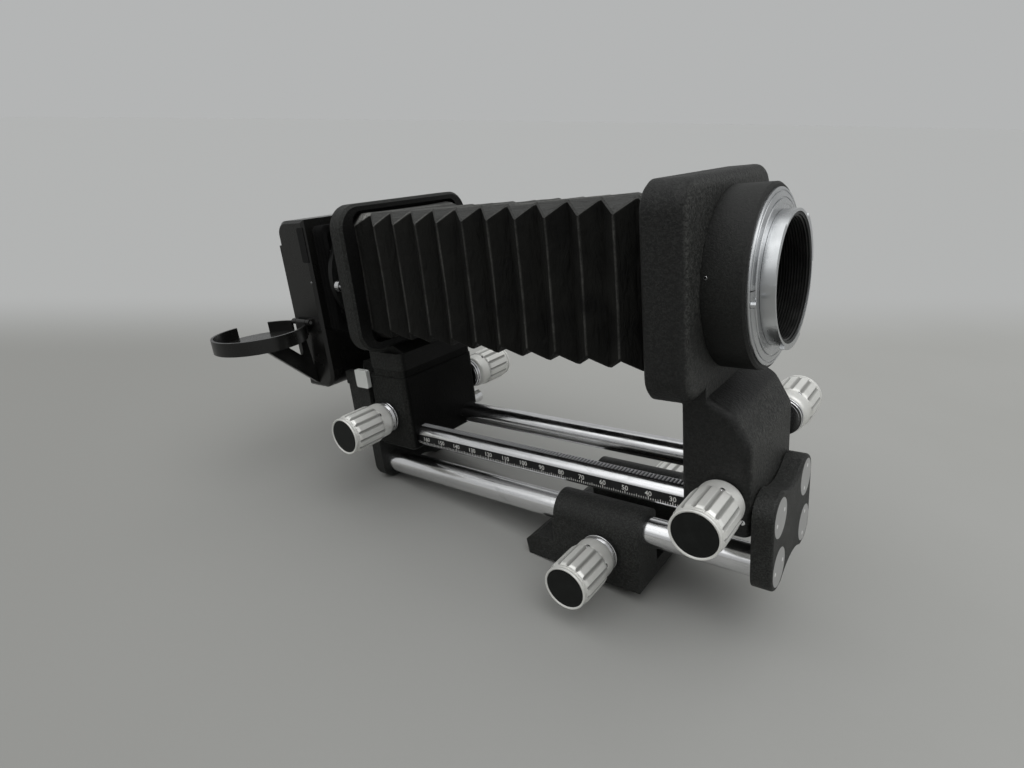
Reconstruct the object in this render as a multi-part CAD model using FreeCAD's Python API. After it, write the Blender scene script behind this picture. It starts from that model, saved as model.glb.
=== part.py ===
import FreeCAD, Part
import math
import os

V = FreeCAD.Vector
os.makedirs("parts", exist_ok=True)

# ---------------------------------------------------------------- driving sizes, mm
# Frame: +X towards the camera end, -Y the side with the scale, +Z up.
# The origin is the tripod socket's mouth, in the bottom face of the tripod block.

# rail of four rods between two end plates
rod_length = 192.5
socket_to_plate = 63.0
rod_half_y = 16.9
lower_rod_z = 25.0
rod_rise = 20.0
lower_rod_r = 6.0
upper_rod_r = 5.5
plate_t = 7.4
plate_margin = 8.7
plate_waist = 3.6
plate_corner_r = 8.0
disc_r = 7.35
disc_t = 0.8
plate_rim_r = 1.2

# rack teeth and pinions: fine along the upper rod, coarser along the lower one
upper_module = 0.5
lower_module = 0.8
pressure_deg = 25.0
addendum_share = 0.84
dedendum_share = 1.2
backlash = 0.12
rack_depth = 0.9
rack_half_w = 1.6
rack_back = 2.4
rack_end_gap = 1.0
camera_pinion_teeth = 10
lens_pinion_teeth = 26
block_pinion_teeth = 12
pinion_width = 2.8
tip_gap = 0.15

# scale strip let into the near upper rod
strip_h = 4.8
strip_t = 1.1
strip_drop = 0.3
strip_end_gap = 0.2

# clearances
run = 0.05
slip = 0.1
seat = 0.2
soft = 0.3

# knobs
knob_len = 25.0
camera_drive_ring = 0.4
lens_drive_ring = 4.0
block_drive_ring = 3.2
lock_ring = 3.0
knob_grip_r = 9.5
knob_rim_r = 9.1
knob_cap_r = 8.1
knob_cap_t = 1.2
knob_collar_r = 8.6
knob_collar_len = 7.8
knob_collar_bevel = 1.4
knob_rim_len = 1.0
knob_cap_sunk = 0.3
knob_ring_r = 6.6
knob_shaft_r = 3.0
knob_flutes = 14
flute_depth = 0.8
flute_half = 1.0
neck_r = 1.4
tail_len = 6.0
lock_stub_r = 2.5
lock_stub_len = 8.0

# standards: the two upright castings that ride on the upper rods
carriage_half_y = 25.5
carriage_wall_below = 0.6
camera_gap = 0.6
camera_len = 24.5
lens_gap = 0.4
lens_len = 26.6
axis_over_upper_rods = 79.7
camera_plate_t = 14.4
camera_plate_back = 5.1
camera_half_y = 42.4
camera_plate_up = 35.9
camera_plate_down = 35.0
camera_corner_r = 10.0
camera_front_r = 4.0
camera_back_chamfer = 1.0
foot_front_h = 33.5
slope_step_run = 6.3
slope_step_rise = 11.4
slope_r = 8.0
foot_edge_r = 3.0
heel_in = 2.6
heel_drop = 5.0
cam_drive_in = 9.4
cam_lock_in = 4.9
lock_rise = 18.0
drive_over_rod = 1.6
lock_pad_t = 3.0
lock_pad_w = 15.0
lock_pad_below = 15.0
lock_pad_above = 8.0
lock_pad_r = 4.0

# turning camera mount
drum_r = 31.0
drum_len = 13.6
spigot_r = 26.0
mount_wall = 9.0
retainer_r = 27.2
retainer_t = 2.4
flange_r = 29.2
flange_t = 1.0
step_r = 26.4
step_t = 0.8
bayonet_r = 22.3
bayonet_len = 5.4
bayonet_bore_r = 21.4
lug_r = 23.5
lug_t = 1.5
lug_deg = 50.0
first_lug_deg = 30.0
liner_wall = 1.0
liner_sunk = 0.4
drum_chamfer = 0.8
latch_pin_r = 1.1
latch_pin_len = 1.6
latch_pin_deg = 6.0

# lens standard
lens_drive_in = 15.0
lens_lock_in = 6.0
lens_frame_t = 8.6
lens_frame_back = 2.7
lens_frame_chamfer = 1.2
lens_corner_r = 11.0
lens_half_y = 41.6
lens_frame_up = 35.7
lens_frame_down = 31.9
lens_rim_t = 2.4
swing_under_axis = 47.7
swing_in = 12.0
lens_lock_under = 14.0
lens_edge_r = 3.0
swing_disc_t = 3.8
swing_pin_r = 4.0
swing_pin_len = 9.0
shift_rail_half = 5.0
shift_rail_h = 3.4
shift_rail_half_len = 12.0
shift_travel = 10.0
panel_foot_h = 8.6
panel_foot_half_x = 12.0
panel_foot_half_y = 25.5
panel_neck_in = 3.0
swing_plate_in = 0.4
lens_ring_r = 31.0
lens_ring_t = 4.0
lens_face_t = 1.0
lens_face_r = 29.0
lens_bore_r = 22.1
lens_throat_r = 20.6

# bellows
bellows_half_y = 33.0
bellows_up = 31.3
bellows_down = 26.7
bellows_wall = 7.0

# tripod block
block_drive_x = 3.0
block_len = 40.0
sleeve_r = 9.0
block_floor_t = 6.5
block_half_y = 26.0
block_web = 16.5
tongue_len = 16.0
tongue_z0 = 2.0
lip_z = 10.5
lip_bevel = 1.5
scoop_r = 10.0
scoop_z = 12.5
socket_r = 3.175
bush_r = 7.0
bush_t = 5.8

# lens release pin and trimming screw
release_in = 4.5
release_r = 1.5
release_seat = 1.6
release_push = 1.2
release_out = 6.0
release_head_r = 2.6
release_head_t = 2.6
trim_in = 7.0
trim_rise = 2.6
trim_r = 1.5
trim_depth = 3.2
trim_head_r = 3.6
trim_head_len = 8.0

# slide copier
copier_gap = 13.1
copier_len = 22.0
copier_half_y = 32.0
copier_above = 30.3
copier_below = 56.7
copier_corner_r = 7.0
copier_heel_r = 9.0
copier_edge = 1.4
film_slot = 1.0
film_half = 17.8
gate_wall = 1.8
ear_w = 3.0
pivot_len = 8.0
gate_half_z = 19.5
gate_rise = 6.0
gate_shift = 5.0
gate_t = 6.8
film_gate_half_y = 22.6
film_gate_half_z = 16.2
film_gate_t = 3.6
frame_w = 36.0
frame_h = 24.0
door_t = 2.4
door_top = 18.3
door_bottom = 45.0
door_half_y = 30.6
opal_t = 1.4
opal_margin = 4.0
hinge_r = 1.6
hinge_pin_r = 0.9
hood_len = 7.6
hood_half_y = 27.0
hood_wall = 4.0
ring_r = 28.0
ring_bore_r = 24.0
ring_t = 3.0
bracket_t = 9.6
bracket_over = 6.9
bracket_half_y = 26.0
bracket_leg_z = 38.0
tunnel_z = 70.0
rail_half_y = 11.0
rail_h = 6.0
bracket_top_wall = 2.6
rail_end_gap = 1.0
rail_end_wall = 4.0
cheek_t = 4.0
cheek_rise = 6.8
lever_in = 3.2
lever_rise = 3.0
lever_back = 2.4
lever_reach = 6.6
lever_below = 2.8
lever_t = 2.2
lever_pin_r = 1.6
lever_pin_len = 3.4

# film trays
tray_r = 22.6
tray_wall = 1.2
tray_h = 6.8
tray_rim_below_axis = 20.4
tray_in_from_front = 2.0
tray_gap = 0.5
tray_pivot_out = 1.8
tray_pivot_r = 1.5
tray_gap_deg = 158.0
tray_gap_half_deg = 21.0
ear_gap_deg = 75.0
ear_gap_half_deg = 25.0
strut_drop = 27.0
strut_t = 3.0
stud_r = 3.0
stud_out = 12.0
stud_side = 8.0

# ---------------------------------------------------------------- derived stations
upper_rod_z = lower_rod_z + rod_rise
cam_in = socket_to_plate
cam_out = cam_in + plate_t
lens_in = socket_to_plate - rod_length
lens_out = lens_in - plate_t
half_plate_y = rod_half_y + plate_margin
plate_z0 = lower_rod_z - plate_margin
plate_z1 = upper_rod_z + plate_margin
axis_z = upper_rod_z + axis_over_upper_rods
carriage_z0 = upper_rod_z - upper_rod_r - carriage_wall_below

cam_x1 = cam_in - camera_gap
cam_x0 = cam_x1 - camera_len
cplate_x0 = cam_x0 - camera_plate_back
cplate_x1 = cplate_x0 + camera_plate_t
cplate_z0 = axis_z - camera_plate_down
cplate_z1 = axis_z + camera_plate_up

lens_x0 = lens_in + lens_gap
lens_x1 = lens_x0 + lens_len
swing_x = lens_x1 - swing_in
swing_z0 = axis_z - swing_under_axis
swing_z1 = swing_z0 + slip + swing_disc_t
panel_z0 = swing_z1 + slip
frame_x0 = swing_x - lens_frame_back
frame_x1 = frame_x0 + lens_frame_t
frame_z0 = axis_z - lens_frame_down
frame_z1 = axis_z + lens_frame_up

drive_z = upper_rod_z + upper_rod_r + drive_over_rod
lock_z = upper_rod_z + lock_rise
lens_lock_z = max(swing_z0 - lens_lock_under, upper_rod_z + upper_rod_r + lock_stub_r + 1)
camera_pitch_r = upper_module * camera_pinion_teeth / 2
lens_pitch_r = upper_module * lens_pinion_teeth / 2
block_pitch_r = lower_module * block_pinion_teeth / 2
upper_pitch_z = drive_z - camera_pitch_r
lens_drive_z = upper_pitch_z + lens_pitch_r
lower_pitch_z = lower_rod_z - lower_rod_r + rack_depth
block_drive_z = lower_pitch_z - block_pitch_r

copier_x1 = lens_out - copier_gap
copier_x0 = copier_x1 - copier_len
copier_z1 = axis_z + copier_above
copier_z0 = axis_z - copier_below


# ---------------------------------------------------------------- helpers
def save(node, shape):
    shape = shape.removeSplitter()
    shape.exportStep("parts/" + node + ".step")


def box(x0, x1, y0, y1, z0, z1):
    return Part.makeBox(x1 - x0, y1 - y0, z1 - z0, V(x0, y0, z0))


def rod_x(x0, x1, y, z, r):
    return Part.makeCylinder(r, x1 - x0, V(x0, y, z), V(1, 0, 0))


def rod_y(y0, y1, x, z, r):
    return Part.makeCylinder(r, y1 - y0, V(x, y0, z), V(0, 1, 0))


def rod_z(z0, z1, x, y, r):
    return Part.makeCylinder(r, z1 - z0, V(x, y, z0), V(0, 0, 1))


def ring_x(x0, x1, y, z, r_out, r_in):
    return rod_x(x0, x1, y, z, r_out).cut(rod_x(x0 - 1, x1 + 1, y, z, r_in))


def prism(points, direction):
    wire = Part.makePolygon(points + [points[0]])
    return Part.Face(wire).extrude(direction)


def soft_box_x(x0, x1, half_y, z0, z1, r):
    """A block along X whose YZ outline has rounded corners."""
    b = box(x0, x1, -half_y, half_y, z0, z1)
    along = [e for e in b.Edges if abs(e.tangentAt(e.FirstParameter).x) > 0.99]
    return b.makeFillet(r, along)


def edges_at(shape, test):
    return [e for e in shape.Edges if test(e)]


def fuse_all(shapes):
    out = shapes[0]
    if len(shapes) > 1:
        out = out.multiFuse(shapes[1:])
    return out


def mirror_y(shape):
    return shape.mirror(V(0, 0, 0), V(0, 1, 0))


# ---------------------------------------------------------------- rack and pinion
def rack_strip(y, pitch_z, module, phase_x, up):
    """A toothed bar let into a groove of a rod; up is +1 where the teeth point up, -1 down."""
    pitch = math.pi * module
    lean = math.tan(math.radians(pressure_deg))
    half = pitch / 4 + backlash / 2
    tip_z = pitch_z + up * addendum_share * module
    root_z = pitch_z - up * dedendum_share * module
    back_z = pitch_z - up * rack_back
    at_root = half - dedendum_share * module * lean
    at_tip = half + addendum_share * module * lean
    x0 = lens_in + rack_end_gap
    x1 = cam_in - rack_end_gap
    first = math.ceil((x0 + pitch - phase_x) / pitch)
    last = math.floor((x1 - pitch - phase_x) / pitch)
    points = [V(x0, y - rack_half_w, back_z), V(x0, y - rack_half_w, tip_z)]
    for i in range(first, last + 1):
        x = phase_x + i * pitch
        for off, z in ((-at_tip, tip_z), (-at_root, root_z), (at_root, root_z), (at_tip, tip_z)):
            points.append(V(x + off, y - rack_half_w, z))
    points += [V(x1, y - rack_half_w, tip_z), V(x1, y - rack_half_w, back_z)]
    return prism(points, V(0, 2 * rack_half_w, 0))


def grooved_rod(y, z, r, pitch_z, module, up):
    """A rail rod with the groove that holds its rack between the plates."""
    rod = rod_x(lens_out + disc_t, cam_out - disc_t, y, z, r)
    back_z = pitch_z - up * rack_back
    far_z = z + up * (r + 1)
    groove = box(lens_in + rack_end_gap, cam_in - rack_end_gap, y - rack_half_w, y + rack_half_w,
                 min(back_z, far_z), max(back_z, far_z))
    return rod.cut(groove)


def pinion(x, y0, y1, z, module, teeth, turn):
    """Straight-flanked pinion along Y; turn is the angle in teeth of the first tooth."""
    r = module * teeth / 2
    tip = r + addendum_share * module
    root = r - dedendum_share * module
    lean = math.tan(math.radians(pressure_deg))
    half = math.pi * module / 4 - backlash / 2
    at_root = half + 0.75 * (r - root) * lean
    at_tip = half - 1.1 * (tip - r) * lean
    pts = []
    for i in range(teeth):
        a = 2 * math.pi * (i + turn) / teeth
        for radius, off in ((root, -at_root), (tip, -at_tip), (tip, at_tip), (root, at_root)):
            b = a + off / radius
            pts.append(V(x + radius * math.sin(b), y0, z - radius * math.cos(b)))
    return prism(pts, V(0, y1 - y0, 0))


def tooth_turn(x, phase, module, up):
    """Angle, in teeth, that sets a pinion at x into the gaps of its rack."""
    shift = (x - phase) / (math.pi * module)
    return -(shift - math.floor(shift)) * up


# ---------------------------------------------------------------- rods, plates, discs
cam_drive_x = cam_x1 - cam_drive_in
lens_drive_x = lens_x1 - lens_drive_in
# the upper rack's gaps are phased on the camera pinion, and the lens pinion is turned to suit
near_upper = grooved_rod(-rod_half_y, upper_rod_z, upper_rod_r, upper_pitch_z, upper_module, 1)
strip_z0 = upper_rod_z - strip_drop - strip_h / 2
strip_z1 = strip_z0 + strip_h
strip_in_y = -rod_half_y - upper_rod_r + strip_t
strip_y = -rod_half_y - math.sqrt(upper_rod_r ** 2 - (upper_rod_z - strip_z0) ** 2)
slot_y = -rod_half_y - upper_rod_r - 1
save("rod_upper_near", near_upper.cut(box(lens_in, cam_in, slot_y, strip_in_y, strip_z0, strip_z1)))
strip = box(lens_in + strip_end_gap, cam_in - strip_end_gap, strip_y, strip_in_y, strip_z0, strip_z1)
save("scale_strip", strip)
save("rod_upper_far", rod_x(lens_out + disc_t, cam_out - disc_t, rod_half_y, upper_rod_z, upper_rod_r))
save("rod_lower_near", grooved_rod(-rod_half_y, lower_rod_z, lower_rod_r, lower_pitch_z, lower_module, -1))
save("rack_upper", rack_strip(-rod_half_y, upper_pitch_z, upper_module, cam_drive_x, 1))
save("rack_lower", rack_strip(-rod_half_y, lower_pitch_z, lower_module, block_drive_x, -1))
save("rod_lower_far", rod_x(lens_out + disc_t, cam_out - disc_t, rod_half_y, lower_rod_z, lower_rod_r))

rod_places = [(-rod_half_y, upper_rod_z, upper_rod_r), (rod_half_y, upper_rod_z, upper_rod_r),
              (-rod_half_y, lower_rod_z, lower_rod_r), (rod_half_y, lower_rod_z, lower_rod_r)]


def end_plate(x0, x1, outward):
    """Rounded plate with a hollowed waist along its top and bottom edges."""
    plate = soft_box_x(x0, x1, half_plate_y, plate_z0, plate_z1, plate_corner_r)
    waist_half = rod_half_y - plate_waist
    sag_r = (waist_half ** 2 + plate_waist ** 2) / (2 * plate_waist)
    for z in (plate_z1 - plate_waist + sag_r, plate_z0 + plate_waist - sag_r):
        plate = plate.cut(rod_x(x0 - 1, x1 + 1, 0, z, sag_r))
    face_x = x1 if outward > 0 else x0
    rim = edges_at(plate, lambda e: abs(e.BoundBox.XMin - face_x) < 1e-6 and e.BoundBox.XLength < 1e-6)
    plate = plate.makeFillet(plate_rim_r, rim)
    for y, z, r in rod_places:
        plate = plate.cut(rod_x(x0 - 1, x1 + 1, y, z, r))
        recess0 = x1 - disc_t if outward > 0 else x0 - 1
        recess1 = x1 + 1 if outward > 0 else x0 + disc_t
        plate = plate.cut(rod_x(recess0, recess1, y, z, disc_r))
    return plate


save("end_plate_camera", end_plate(cam_in, cam_out, 1))
save("end_plate_lens", end_plate(lens_out, lens_in, -1))

discs = []
for x0 in (cam_out - disc_t, lens_out):
    for y, z, r in rod_places:
        discs.append(rod_x(x0, x0 + disc_t, y, z, disc_r))
save("rod_end_discs", Part.Compound(discs))


# ---------------------------------------------------------------- knobs
neck_y = -rod_half_y - lower_rod_r - slip


def fluted_outline(x, y, z):
    """The grip's outline across its axis: round lands between shallow tapered flutes."""
    def at(r, a):
        return V(x + r * math.cos(a), y, z + r * math.sin(a))
    step = 2 * math.pi / knob_flutes
    mouth = flute_half / knob_grip_r
    low_r = knob_grip_r - flute_depth
    edges = []
    for i in range(knob_flutes):
        a = i * step
        edges.append(Part.Arc(at(knob_grip_r, a + mouth), at(knob_grip_r, a + step / 2),
                              at(knob_grip_r, a + step - mouth)).toShape())
        turns = [at(knob_grip_r, a + step - mouth), at(low_r, a + step), at(knob_grip_r, a + step + mouth)]
        edges += [Part.LineSegment(turns[k], turns[k + 1]).toShape() for k in range(2)]
    return Part.Face(Part.Wire(edges))


def knob(x, y_face, z, side, name, ring_len):
    """Grip, collar and cap of a fluted knob on the side face y_face; side is -1 or +1, outwards."""
    def drum(r, start, length):
        return Part.makeCylinder(r, length, V(x, y_face + side * start, z), V(0, side, 0))
    collar0 = ring_len + seat
    grip0 = collar0 + knob_collar_len
    end = collar0 + knob_len
    rim0 = end - knob_rim_len
    collar = drum(knob_collar_r, collar0, knob_collar_len)
    back = edges_at(collar, lambda e: abs(e.BoundBox.YMin - (y_face + side * collar0)) < 1e-6
                    and e.BoundBox.YLength < 1e-6)
    collar = collar.makeChamfer(knob_collar_bevel, back)
    grip = fluted_outline(x, y_face + side * grip0, z).extrude(V(0, side * (rim0 - grip0), 0))
    body = fuse_all([collar, grip, drum(knob_rim_r, rim0, knob_rim_len)])
    save(name + "_knob", body.cut(drum(knob_cap_r, end - knob_cap_t, knob_cap_t + 1)))
    save(name + "_knob_cap", drum(knob_cap_r, end - knob_cap_t, knob_cap_t - knob_cap_sunk))


def knob_ring(x, y_face, z, side, ring_len):
    """The plain ring between knob and casting."""
    return Part.makeCylinder(knob_ring_r, ring_len, V(x, y_face + side * seat, z), V(0, side, 0))


def drive_knob(x, y_face, z, name, ring_len, module, teeth, turn):
    """A knob on the near side whose shaft carries a pinion and necks down to pass the rod."""
    knob(x, y_face, z, -1, name, ring_len)
    y0 = -rod_half_y - pinion_width / 2
    y1 = -rod_half_y + pinion_width / 2
    ring = knob_ring(x, y_face, z, -1, ring_len)
    stem = rod_y(y_face - seat, neck_y, x, z, knob_shaft_r)
    thin = rod_y(neck_y, y1 + tail_len, x, z, neck_r)
    save(name + "_pinion_shaft", fuse_all([ring, stem, thin, pinion(x, y0, y1, z, module, teeth, turn)]))


def lock_knob(x, y_face, z, name):
    """A knob on the far side whose screw enters the casting."""
    knob(x, y_face, z, 1, name, lock_ring)
    screw = rod_y(y_face - lock_stub_len, y_face + seat, x, z, lock_stub_r)
    save(name + "_screw", knob_ring(x, y_face, z, 1, lock_ring).fuse(screw))


def drive_bore(x, y_face, z, module, teeth):
    """The bored way for a drive knob's shaft, pinion and tail, to be cut from a casting."""
    y0 = -rod_half_y - pinion_width / 2 - soft
    y1 = -rod_half_y + pinion_width / 2 + soft
    tip = module * (teeth / 2 + addendum_share) + tip_gap
    stem = rod_y(y_face - 1, neck_y + slip, x, z, knob_shaft_r + run)
    thin = rod_y(neck_y, y1 + tail_len, x, z, neck_r + run)
    return fuse_all([stem, rod_y(y0, y1, x, z, tip), thin])


def lock_bore(x, y_face, z):
    return rod_y(y_face - lock_stub_len - soft, y_face + 1, x, z, lock_stub_r + run)


# ---------------------------------------------------------------- camera standard
fold_z = carriage_z0 + foot_front_h
neck_x0 = cplate_x0 + heel_in
neck_x1 = cplate_x1 - slip
inside_z = cplate_z0 + camera_corner_r
outline = [(cam_x0, carriage_z0), (cam_x1, carriage_z0), (cam_x1, fold_z),
           (cam_x1 - slope_step_run, fold_z + slope_step_rise), (neck_x1, cplate_z0 - 1), (neck_x1, inside_z),
           (neck_x0, inside_z), (neck_x0, cplate_z0), (cam_x0, cplate_z0 - heel_drop)]
base = prism([V(x, -carriage_half_y, z) for x, z in outline], V(0, 2 * carriage_half_y, 0))
folds = edges_at(base, lambda e: e.BoundBox.YLength > carriage_half_y and e.BoundBox.XLength < 1e-6
                 and (abs(e.BoundBox.ZMin - fold_z) < 1e-6
                      or abs(e.BoundBox.ZMin - fold_z - slope_step_rise) < 1e-6))
base = base.makeFillet(slope_r, folds)
sides = edges_at(base, lambda e: abs(abs(e.BoundBox.YMin) - carriage_half_y) < 1e-6
                 and e.BoundBox.YLength < 1e-6 and e.BoundBox.ZMax < cplate_z0 + 0.1
                 and e.BoundBox.ZLength > 1)
base = base.makeFillet(foot_edge_r, sides)
plate = soft_box_x(cplate_x0, cplate_x1, camera_half_y, cplate_z0, cplate_z1, camera_corner_r)
front_rim = edges_at(plate, lambda e: abs(e.BoundBox.XMin - cplate_x1) < 1e-6 and e.BoundBox.XLength < 1e-6)
plate = plate.makeFillet(camera_front_r, front_rim)
back_rim = edges_at(plate, lambda e: abs(e.BoundBox.XMin - cplate_x0) < 1e-6 and e.BoundBox.XLength < 1e-6)
plate = plate.makeChamfer(camera_back_chamfer, back_rim)

# raised pad on the far side, under the lock knob
cam_lock_x = cam_x1 - cam_lock_in
pad_y = carriage_half_y + lock_pad_t
pad = box(cam_x1 - foot_edge_r - lock_pad_w, cam_x1 - foot_edge_r, carriage_half_y - 1, pad_y,
          lock_z - lock_pad_below, lock_z + lock_pad_above)
pad = pad.makeFillet(lock_pad_r, edges_at(pad, lambda e: e.BoundBox.YLength > 1))
camera_body = fuse_all([plate, base, pad])
pocket_x1 = cplate_x1 - mount_wall
pocket = soft_box_x(cplate_x0 - 1, pocket_x1, bellows_half_y + 1, axis_z - bellows_down - 1,
                    axis_z + bellows_up + 1, 5)
camera_body = camera_body.cut(pocket)
camera_body = camera_body.cut(rod_x(pocket_x1 - 1, cplate_x1 + 1, 0, axis_z, spigot_r + run))
for s in (-1, 1):
    rod_way = rod_x(cam_x0 - 1, cam_x1 + 1, s * rod_half_y, upper_rod_z, upper_rod_r + run)
    camera_body = camera_body.cut(rod_way)
camera_body = camera_body.cut(drive_bore(cam_drive_x, -carriage_half_y, drive_z, upper_module,
                                         camera_pinion_teeth))
camera_body = camera_body.cut(lock_bore(cam_lock_x, pad_y, lock_z))
save("camera_standard", camera_body)

drive_knob(cam_drive_x, -carriage_half_y, drive_z, "camera_drive", camera_drive_ring, upper_module,
           camera_pinion_teeth, 0)
lock_knob(cam_lock_x, pad_y, lock_z, "camera_lock")

# turning mount: drum, flange, bayonet, liner, retaining ring, latch pin
drum_x0 = cplate_x1 + slip
drum_x1 = drum_x0 + drum_len
flange_x1 = drum_x1 + flange_t
drum = rod_x(drum_x0, drum_x1, 0, axis_z, drum_r)
rim_edges = edges_at(drum, lambda e: abs(e.BoundBox.XMin - drum_x1) < 1e-6 and e.BoundBox.XLength < 1e-6)
drum = drum.makeChamfer(drum_chamfer, rim_edges)
spigot_x0 = pocket_x1 - slip
drum = drum.fuse(rod_x(spigot_x0, drum_x0, 0, axis_z, spigot_r))
drum = drum.cut(rod_x(spigot_x0 - 1, drum_x1 + 1, 0, axis_z, bayonet_bore_r))
save("camera_mount_drum", drum)
flange = ring_x(drum_x1, flange_x1, 0, axis_z, flange_r, bayonet_bore_r)
flange = flange.fuse(ring_x(flange_x1, flange_x1 + step_t, 0, axis_z, step_r, bayonet_bore_r))
save("camera_mount_flange", flange)
bay_x0 = flange_x1 + step_t
bay_x1 = flange_x1 + bayonet_len
bayonet = ring_x(bay_x0, bay_x1, 0, axis_z, bayonet_r, bayonet_bore_r)
lug_ring = ring_x(bay_x1 - lug_t, bay_x1, 0, axis_z, lug_r, bayonet_r - 0.3)
lugs = []
for i in range(3):
    corners = [V(bay_x1 - lug_t, 0, axis_z)]
    for edge in (-lug_deg / 2, lug_deg / 2):
        a = math.radians(first_lug_deg + 120 * i + edge)
        corners.append(V(bay_x1 - lug_t, 2 * lug_r * math.cos(a), axis_z + 2 * lug_r * math.sin(a)))
    lugs.append(lug_ring.common(prism(corners, V(lug_t, 0, 0))))
save("camera_bayonet", fuse_all([bayonet] + lugs))
liner = ring_x(spigot_x0, bay_x1 - liner_sunk, 0, axis_z, bayonet_bore_r, bayonet_bore_r - liner_wall)
save("camera_mount_liner", liner)
keeper = ring_x(spigot_x0 - retainer_t, spigot_x0, 0, axis_z, retainer_r, bayonet_bore_r - liner_wall)
save("camera_mount_keeper", keeper)
pin_at = (flange_r + step_r) / 2
pin_a = math.radians(latch_pin_deg)
save("camera_mount_latch_pin", rod_x(flange_x1, flange_x1 + latch_pin_len, -pin_at * math.cos(pin_a),
                                     axis_z - pin_at * math.sin(pin_a), latch_pin_r))

# ---------------------------------------------------------------- lens standard
carriage = box(lens_x0, lens_x1, -carriage_half_y, carriage_half_y, carriage_z0, swing_z0)
upright = edges_at(carriage, lambda e: e.BoundBox.ZLength > 1)
carriage = carriage.makeFillet(lens_edge_r, upright)
low = edges_at(carriage, lambda e: abs(e.BoundBox.ZMax - carriage_z0) < 1e-6)
carriage = carriage.makeChamfer(1.0, low)
for s in (-1, 1):
    carriage = carriage.cut(rod_x(lens_x0 - 1, lens_x1 + 1, s * rod_half_y, upper_rod_z, upper_rod_r + run))
carriage = carriage.cut(rod_z(swing_z0 - swing_pin_len - 1, swing_z0 + 1, swing_x, 0, swing_pin_r + run))
carriage = carriage.cut(drive_bore(lens_drive_x, -carriage_half_y, lens_drive_z, upper_module,
                                   lens_pinion_teeth))
lens_lock_x = lens_x1 - lens_lock_in
carriage = carriage.cut(lock_bore(lens_lock_x, carriage_half_y, lens_lock_z))
drive_knob(lens_drive_x, -carriage_half_y, lens_drive_z, "lens_drive", lens_drive_ring, upper_module,
           lens_pinion_teeth, tooth_turn(lens_drive_x, cam_drive_x, upper_module, 1))
lock_knob(lens_lock_x, carriage_half_y, lens_lock_z, "lens_lock")

swing_half_x = panel_foot_half_x - swing_plate_in
swing_half_y = panel_foot_half_y - swing_plate_in
swing = box(swing_x - swing_half_x, swing_x + swing_half_x, -swing_half_y, swing_half_y, swing_z0 + slip,
            swing_z1)
swing = swing.makeFillet(lens_edge_r, edges_at(swing, lambda e: e.BoundBox.ZLength > 1))
swing = swing.fuse(rod_z(swing_z0 - swing_pin_len, swing_z0 + slip, swing_x, 0, swing_pin_r))
swing = swing.fuse(box(swing_x - shift_rail_half, swing_x + shift_rail_half, -shift_rail_half_len,
                       shift_rail_half_len, swing_z1, swing_z1 + shift_rail_h))
save("lens_swing_plate", swing)

foot_x0 = swing_x - panel_foot_half_x
foot_x1 = swing_x + panel_foot_half_x
foot_top_z = panel_z0 + panel_foot_h
foot = box(foot_x0, foot_x1, -panel_foot_half_y, panel_foot_half_y, panel_z0, foot_top_z)
foot = foot.makeFillet(lens_edge_r, edges_at(foot, lambda e: e.BoundBox.ZLength > 1))
neck_half_y = panel_foot_half_y - panel_neck_in
neck_outline = [(foot_x0, foot_top_z), (foot_x1, foot_top_z), (frame_x1 - 2, frame_z0 + 0.4),
                (frame_x0 + 2, frame_z0 + 0.4)]
neck = prism([V(x, -neck_half_y, z) for x, z in neck_outline], V(0, 2 * neck_half_y, 0))
frame = soft_box_x(frame_x0, frame_x1, lens_half_y, frame_z0, frame_z1, lens_corner_r)
rims = edges_at(frame, lambda e: e.BoundBox.XLength < 1e-6)
frame = frame.makeChamfer(lens_frame_chamfer, rims)
panel = fuse_all([frame, neck, foot])
recess_x0 = frame_x0 + lens_rim_t
panel = panel.cut(soft_box_x(recess_x0, frame_x1 + 1, bellows_half_y + 1.2, axis_z - bellows_down - 1.2,
                             axis_z + bellows_up + 1.2, 5))
panel = panel.cut(rod_x(frame_x0 - 1, recess_x0 + 1, 0, axis_z, lens_bore_r))
groove_half = shift_rail_half_len + shift_travel + seat
groove_half_x = shift_rail_half + slip
groove_top = swing_z1 + shift_rail_h + slip
panel = panel.cut(box(swing_x - groove_half_x, swing_x + groove_half_x, -groove_half, groove_half,
                      panel_z0 - 1, groove_top))

ring_x1 = frame_x0
ring_x0 = frame_x0 - lens_ring_t
face_x1 = ring_x0 + lens_face_t
seat_ring = ring_x(face_x1, ring_x1, 0, axis_z, lens_ring_r, lens_bore_r)
save("lens_mount_seat", seat_ring)
mount = ring_x(ring_x0, face_x1, 0, axis_z, lens_face_r, lens_bore_r)
save("lens_mount_ring", mount)
throat = ring_x(face_x1, ring_x1 + lens_rim_t, 0, axis_z, lens_bore_r, lens_throat_r)
save("lens_mount_throat", throat)

# lens release: a sprung pin beside the mount ring
release_y = -lens_half_y + release_in
panel = panel.cut(rod_x(frame_x0 - 1, frame_x0 + release_seat + release_push + soft, release_y, axis_z,
                        release_r + run))
save("lens_panel", panel)
head_x0 = frame_x0 - release_out
release = rod_x(head_x0, frame_x0 + release_seat, release_y, axis_z, release_r)
release = release.fuse(rod_x(head_x0, head_x0 + release_head_t, release_y, axis_z, release_head_r))
save("lens_release_pin", release)

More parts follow.
